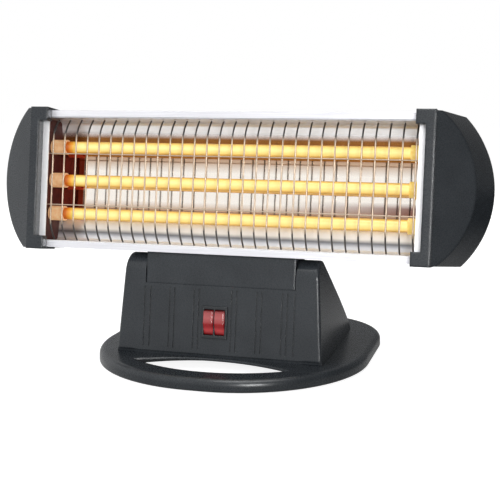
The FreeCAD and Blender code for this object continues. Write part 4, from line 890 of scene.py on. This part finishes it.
@dataclass(frozen=True)
class Reflector:
    """Polished trough behind the tubes, smooth round its bends."""

    lip_mm: float = 61.65
    front_mm: float = 1.3
    deep_mm: float = 44.0
    flat_mm: float = 36.0
    wide_mm: float = 110.0
    wide_deg: float = 11.5
    sheet_mm: float = 0.8
    bend_steps: int = 40

    def line(self, grow_mm: float) -> tuple[np.ndarray, np.ndarray]:
        """Draw the section of one face of the sheet.

        The back is flat, then bends forward in a wide arc and at its end in a tight one, each with
        height = centre + radius * sin(turn) and depth = centre + radius * cos(turn), and the lip is straight.

        Args:
            grow_mm: how far outside the mirror's face the line lies.

        Returns:
            Heights and depths from the top lip to the bottom lip.
        """
        end = math.radians(self.wide_deg)
        tight = (self.lip_mm - self.flat_mm - self.wide_mm * math.sin(end)) / (1 - math.sin(end))
        corner = np.linspace(np.pi / 2, end, self.bend_steps)
        wide = np.linspace(end, 0, self.bend_steps)[1:]
        height = np.concatenate([
            [self.lip_mm + grow_mm], self.lip_mm - tight + (tight + grow_mm) * np.sin(corner),
            self.flat_mm + (self.wide_mm + grow_mm) * np.sin(wide)])
        back = self.deep_mm - self.wide_mm
        corner_back = back + (self.wide_mm - tight) * math.cos(end)
        depth = np.concatenate([
            [self.front_mm], corner_back + (tight + grow_mm) * np.cos(corner),
            back + (self.wide_mm + grow_mm) * np.cos(wide)])
        return np.concatenate([height, -height[::-1]]), np.concatenate([depth, depth[::-1]])

    def build(self) -> None:
        """Carry the sheet's section across the head, as rings of its two faces and two ends."""
        low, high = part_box("reflector")
        left, right = low.x / MM, high.x / MM
        face, rear = self.line(0.0), self.line(self.sheet_mm)
        corners = ((left, rear), (right, rear), (right, face), (left, face))
        stack = np.stack([HEAD.place(across, *line) for across, line in corners], axis=1)
        piece = make_piece("mirror_trough", [stack], Coat.MIRROR)
        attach(piece, "head")
        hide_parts("reflector")


@dataclass(frozen=True)
class WireGuard:
    """Evenly spaced uprights whose ends bow smoothly back to the mirror's lips, on two cross wires."""

    count: int = 30
    half_mm: float = 182.5
    wire_mm: float = 0.85
    deep_mm: float = 5.5
    bow_from_mm: float = 40.0
    tip_mm: float = 60.65
    tip_deep_mm: float = 16.5
    cross_mm: float = 0.55
    cross_height_mm: float = 25.7
    steps: int = 65
    ring: int = 10

    def build(self) -> None:
        """Make the uprights and the cross wires."""
        self.bend_uprights()
        self.lay_cross_wires()

    def bend_uprights(self) -> None:
        """Bend each wire back beyond its straight stretch: depth grows with the square of the way there."""
        height = self.tip_mm * np.sin(np.linspace(-np.pi / 2, np.pi / 2, self.steps))
        beyond = np.clip(np.abs(height) - self.bow_from_mm, 0, None) / (self.tip_mm - self.bow_from_mm)
        depth = self.deep_mm + (self.tip_deep_mm - self.deep_mm) * beyond ** 2
        paths = [HEAD.place(x, height, depth) for x in np.linspace(-self.half_mm, self.half_mm, self.count)]
        stacks = [sweep(path, RIGHT, self.wire_mm, self.ring) for path in paths]
        piece = make_piece("bowed_guard_wires", stacks, Coat.CHROME_WIRE)
        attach(piece, "head")
        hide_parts("guard_uprights")

    def lay_cross_wires(self) -> None:
        """Lay a straight wire across the front of the uprights, above and below the middle."""
        low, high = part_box("guard_cross_wires")
        across = np.linspace(low.x, high.x, self.steps) / MM
        depth = self.deep_mm - self.wire_mm - self.cross_mm
        heights = (-self.cross_height_mm, self.cross_height_mm)
        paths = [HEAD.place(across, height, depth) for height in heights]
        stacks = [sweep(path, UP, self.cross_mm, self.ring) for path in paths]
        piece = make_piece("thin_cross_wires", stacks, Coat.CHROME_WIRE)
        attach(piece, "head")
        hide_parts("guard_cross_wires")


@dataclass(frozen=True)
class HeatingCoils:
    """Fine resistance coils inside the quartz tubes, closer wound than the solids."""

    heights_mm: tuple[tuple[str, float], ...] = (("top", 34.0), ("middle", 0.0), ("bottom", -34.0))
    deep_mm: float = 25.0
    radius_mm: float = 3.2
    wire_mm: float = 0.4
    turns: int = 140
    steps: int = 14
    ring: int = 6

    def build(self) -> None:
        """Wind each coil: height and depth go round the axis as radius * cos and radius * sin of the turn."""
        share = np.linspace(0, 1, self.turns * self.steps + 1)
        turn = 2 * np.pi * self.turns * share
        rise, sink = self.radius_mm * np.cos(turn), self.radius_mm * np.sin(turn)
        for name, height in self.heights_mm:
            node = f"heating_coil_{name}"
            low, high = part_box(node)
            across = (low.x + (high.x - low.x) * share) / MM
            axis = HEAD.place(across, height, self.deep_mm)
            path = HEAD.place(across, height + rise, self.deep_mm + sink)
            stack = sweep(path, path - axis, self.wire_mm, self.ring)
            piece = make_piece(f"fine_coil_{name}", [stack], Coat.HOT_WIRE)
            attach(piece, "head")
            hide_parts(node)


@dataclass(frozen=True)
class PlungerSpring:
    """Spring between the tip-over switch and the plunger's collar, with closed end turns."""

    radius_mm: float = 3.8
    wire_mm: float = 0.35
    turns: float = 7.0
    closed_turns: float = 1.0
    steps: int = 24
    ring: int = 8

    def build(self) -> None:
        """Wind the spring on the plunger's axis: the height rises evenly between the two closed end turns."""
        low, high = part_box("plunger_spring")
        near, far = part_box("tip_plunger")
        middle = (near + far) / 2
        count = int(self.turns * self.steps) + 1
        turn = np.linspace(0, self.turns, count)
        floor, roof = low.z / MM + self.wire_mm, high.z / MM - self.wire_mm
        lift = 2 * self.wire_mm
        bends = (0, self.closed_turns, self.turns - self.closed_turns, self.turns)
        height = np.interp(turn, bends, (floor, floor + lift, roof - lift, roof))
        angle = 2 * np.pi * turn
        away = np.stack([np.cos(angle), np.sin(angle), np.zeros(count)], axis=1)
        path = np.array([middle.x, middle.y, 0]) / MM + self.radius_mm * away
        path[:, 2] = height
        stack = sweep(path, away, self.wire_mm, self.ring)
        piece = make_piece("closed_end_spring", [stack], Coat.STEEL)
        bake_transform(piece)
        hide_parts("plunger_spring")


class Dressing:
    """The finishes of the pieces whose solids already have their shape."""

    by_slot: ClassVar[dict[str, Coat]] = {
        "black_plastic": Coat.BLACK_PLASTIC, "switch_black": Coat.SWITCH_BLACK, "red_rocker": Coat.RED_ROCKER,
        "rubber": Coat.RUBBER, "zinc_screw": Coat.ZINC, "steel": Coat.STEEL, "nylon": Coat.NYLON,
        "brass": Coat.BRASS, "painted_steel": Coat.PAINTED_STEEL, "mirror_sheet": Coat.MIRROR,
        "bright_aluminium": Coat.BRIGHT_ALUMINIUM, "hot_quartz": Coat.HOT_QUARTZ, "hot_wire": Coat.HOT_WIRE,
        "ceramic": Coat.CERAMIC, "chrome_wire": Coat.CHROME_WIRE,
    }
    by_node: ClassVar[dict[str, Coat]] = {
        "pedestal_shell": Coat.HOOD_PLASTIC,
        "end_plate_left": Coat.END_PLATE, "end_plate_right": Coat.END_PLATE,
        "ceramic_end_top_right": Coat.LIT_CERAMIC, "ceramic_end_middle_right": Coat.LIT_CERAMIC,
        "ceramic_end_bottom_right": Coat.LIT_CERAMIC,
    }

    def build(self) -> None:
        """Give every node the material of its slot in the record, or its own where it has one."""
        for row in frame["record"]["subparts"]:
            name = row["node"]
            coat = self.by_node.get(name, self.by_slot[row["material_slot"]])
            mesh = frame["nodes"][name].data
            mesh.materials.clear()
            mesh.materials.append(coat.value.material())
            log.info("%s: %s", name, coat.value.name)


@dataclass(frozen=True)
class Lamp:
    """A soft lamp that faces the middle of the heater and either lights surfaces or shows in their gloss."""

    name: str
    spot_mm: Way
    size_mm: tuple[float, float]
    watts: float
    mirrored: bool = False

    def hang(self) -> None:
        """Hang the lamp."""
        data = bpy.data.lights.new(self.name, "AREA")
        data.shape = "RECTANGLE"
        data.size, data.size_y = (length * MM for length in self.size_mm)
        data.energy = self.watts
        lamp = bpy.data.objects.new(self.name, data)
        bpy.context.scene.collection.objects.link(lamp)
        lamp.visible_glossy = self.mirrored
        lamp.visible_diffuse = not self.mirrored
        middle = (CAD_BOX[0] + CAD_BOX[1]) / 2
        lamp.location = [value * MM for value in self.spot_mm]
        lamp.rotation_euler = (middle - lamp.location).to_track_quat("-Z", "Y").to_euler()


@dataclass(frozen=True)
class Studio:
    """Pale floor, white surround, soft lamps and the camera at the photographed angle."""

    camera_mm: Way = (286.28, -955.28, 270.12)
    yaw_deg: float = 16.0
    pitch_deg: float = 9.27
    lens_mm: float = 71.32
    sensor_mm: float = 36.0
    floor_half_mm: float = 6000.0
    floor_tone: str = "#b0b0b0"
    floor_far_tone: str = "#303030"
    floor_far_mm: float = -500.0
    floor_near_mm: float = 700.0
    floor_lift: float = 0.86
    bright_way: Way = (-0.62, -0.5, 0.6)
    bright_range: Range = (-0.3, 0.7)
    dim: float = 0.2
    ambient: float = 0.5
    lamps: tuple[Lamp, ...] = (
        Lamp("key_softbox", (-900, -1300, 1250), (900, 900), watts=17),
        Lamp("back_softbox", (-300, 1300, 1000), (1200, 1200), watts=18),
        Lamp("side_softbox", (743, -1470, 500), (300, 300), watts=11),
        Lamp("edge_strip", (674, -1447, 450), (420, 400), watts=21, mirrored=True),
        Lamp("top_strip", (150, -350, 1500), (900, 500), watts=11, mirrored=True),
    )

    def build(self) -> None:
        """Make the floor, the surround, the lamps and the camera."""
        self.lay_floor()
        self.light_surround()
        for lamp in self.lamps:
            lamp.hang()
        self.set_camera()
        bpy.context.scene.view_settings.view_transform = "Standard"

    def mirrored(self, tree: Tree) -> Socket:
        """Tell rays that a glossy or a clear surface sends from the light that falls on surfaces.

        Args:
            tree: the node tree.

        Returns:
            1 for those rays and 0 for others.
        """
        path = add_node(tree, "ShaderNodeLightPath").outputs
        inputs = {0: path["Is Glossy Ray"], 1: path["Is Transmission Ray"]}
        return add_node(tree, "ShaderNodeMath", {"operation": "MAXIMUM"}, inputs).outputs[0]

    def lay_floor(self) -> None:
        """Lay a large square floor under the heater."""
        half = self.floor_half_mm * MM
        corners = [(-half, -half, 0), (half, -half, 0), (half, half, 0), (-half, half, 0)]
        mesh = bpy.data.meshes.new("floor")
        mesh.from_pydata(corners, [], [(0, 1, 2, 3)])
        mesh.materials.append(self.floor_material())
        floor = bpy.data.objects.new("floor", mesh)
        bpy.context.scene.collection.objects.link(floor)

    def floor_material(self) -> bpy.types.Material:
        """Make the floor's pale paint, which shows nearly white and keeps the heater's shadow.

        Mirrors and gloss see it white toward the bright side of the studio and dark toward the other.

        Returns:
            The material.
        """
        material = bpy.data.materials.new("pale_studio_floor")
        material.use_nodes = True
        tree = material.node_tree
        tree.nodes.clear()
        near = share_along(tree, self.bright_way, self.floor_far_mm, self.floor_near_mm)
        far = share_along(tree, self.bright_way, self.floor_near_mm, self.floor_far_mm)
        mirrored = self.mirrored(tree)
        faded = add_node(tree, "ShaderNodeMath", {"operation": "MULTIPLY"}, {0: far, 1: mirrored}).outputs[0]
        tone = add_node(tree, "ShaderNodeMix", COLOURS, {
            MIX_SHARE: faded, MIX_LOW: to_linear(self.floor_tone), MIX_HIGH: to_linear(self.floor_far_tone)})
        matt = add_node(tree, "ShaderNodeBsdfDiffuse", inputs={"Color": tone.outputs[MIX_RESULT]})
        bright = add_node(tree, "ShaderNodeMath", {"operation": "MULTIPLY"}, {0: near, 1: mirrored})
        inputs = {0: bright.outputs[0], 1: add_node(tree, "ShaderNodeLightPath").outputs["Is Camera Ray"]}
        shown = add_node(tree, "ShaderNodeMath", {"operation": "MAXIMUM"}, inputs).outputs[0]
        lift = add_node(tree, "ShaderNodeMath", {"operation": "MULTIPLY"}, {0: shown, 1: self.floor_lift})
        glow = add_node(tree, "ShaderNodeEmission", inputs={"Strength": lift.outputs[0]})
        both = add_node(tree, "ShaderNodeAddShader", inputs={0: matt.outputs[0], 1: glow.outputs[0]})
        add_node(tree, "ShaderNodeOutputMaterial", inputs={"Surface": both.outputs[0]})
        return material

    def light_surround(self) -> None:
        """Show white to the camera, shade one side for mirrors and gloss, and light surfaces softly."""
        world = bpy.data.worlds.new("white_surround")
        bpy.context.scene.world = world
        world.use_nodes = True
        tree = world.node_tree
        tree.nodes.clear()
        way = add_node(tree, "ShaderNodeTexCoord").outputs["Generated"]
        inputs = {0: way, 1: self.bright_way}
        toward = add_node(tree, "ShaderNodeVectorMath", {"operation": "DOT_PRODUCT"}, inputs)
        least, most = self.bright_range
        glow = add_node(tree, "ShaderNodeMapRange", {"interpolation_type": "SMOOTHSTEP"}, {
            "Value": toward.outputs["Value"], "From Min": least, "From Max": most,
            "To Min": self.dim, "To Max": 1.0}).outputs["Result"]
        share = add_node(tree, "ShaderNodeMapRange", inputs={
            "Value": self.mirrored(tree), "To Min": self.ambient, "To Max": 1.0}).outputs["Result"]
        soft = add_node(tree, "ShaderNodeMath", {"operation": "MULTIPLY"}, {0: glow, 1: share}).outputs[0]
        direct = add_node(tree, "ShaderNodeLightPath").outputs["Is Camera Ray"]
        strength = add_node(tree, "ShaderNodeMath", {"operation": "MAXIMUM"}, {0: soft, 1: direct}).outputs[0]
        surround = add_node(tree, "ShaderNodeBackground", inputs={
            "Color": to_linear("#ffffff"), "Strength": strength})
        add_node(tree, "ShaderNodeOutputWorld", inputs={"Surface": surround.outputs[0]})

    def set_camera(self) -> None:
        """Set the camera where the photograph was taken from."""
        data = bpy.data.cameras.new("photo_camera")
        data.lens = self.lens_mm
        data.sensor_width = self.sensor_mm
        camera = bpy.data.objects.new("photo_camera", data)
        bpy.context.scene.collection.objects.link(camera)
        camera.location = [value * MM for value in self.camera_mm]
        camera.rotation_euler = (math.radians(90 - self.pitch_deg), 0, math.radians(self.yaw_deg))
        bpy.context.scene.camera = camera


def main() -> None:
    """Dress the heater and set the studio round it."""
    logging.basicConfig(level=logging.INFO, format="%(name)s: %(message)s")
    Dressing().build()
    for assembly in (Reflector(), WireGuard(), HeatingCoils(), PlungerSpring()):
        assembly.build()
    Studio().build()


if __name__ == "__main__":
    main()
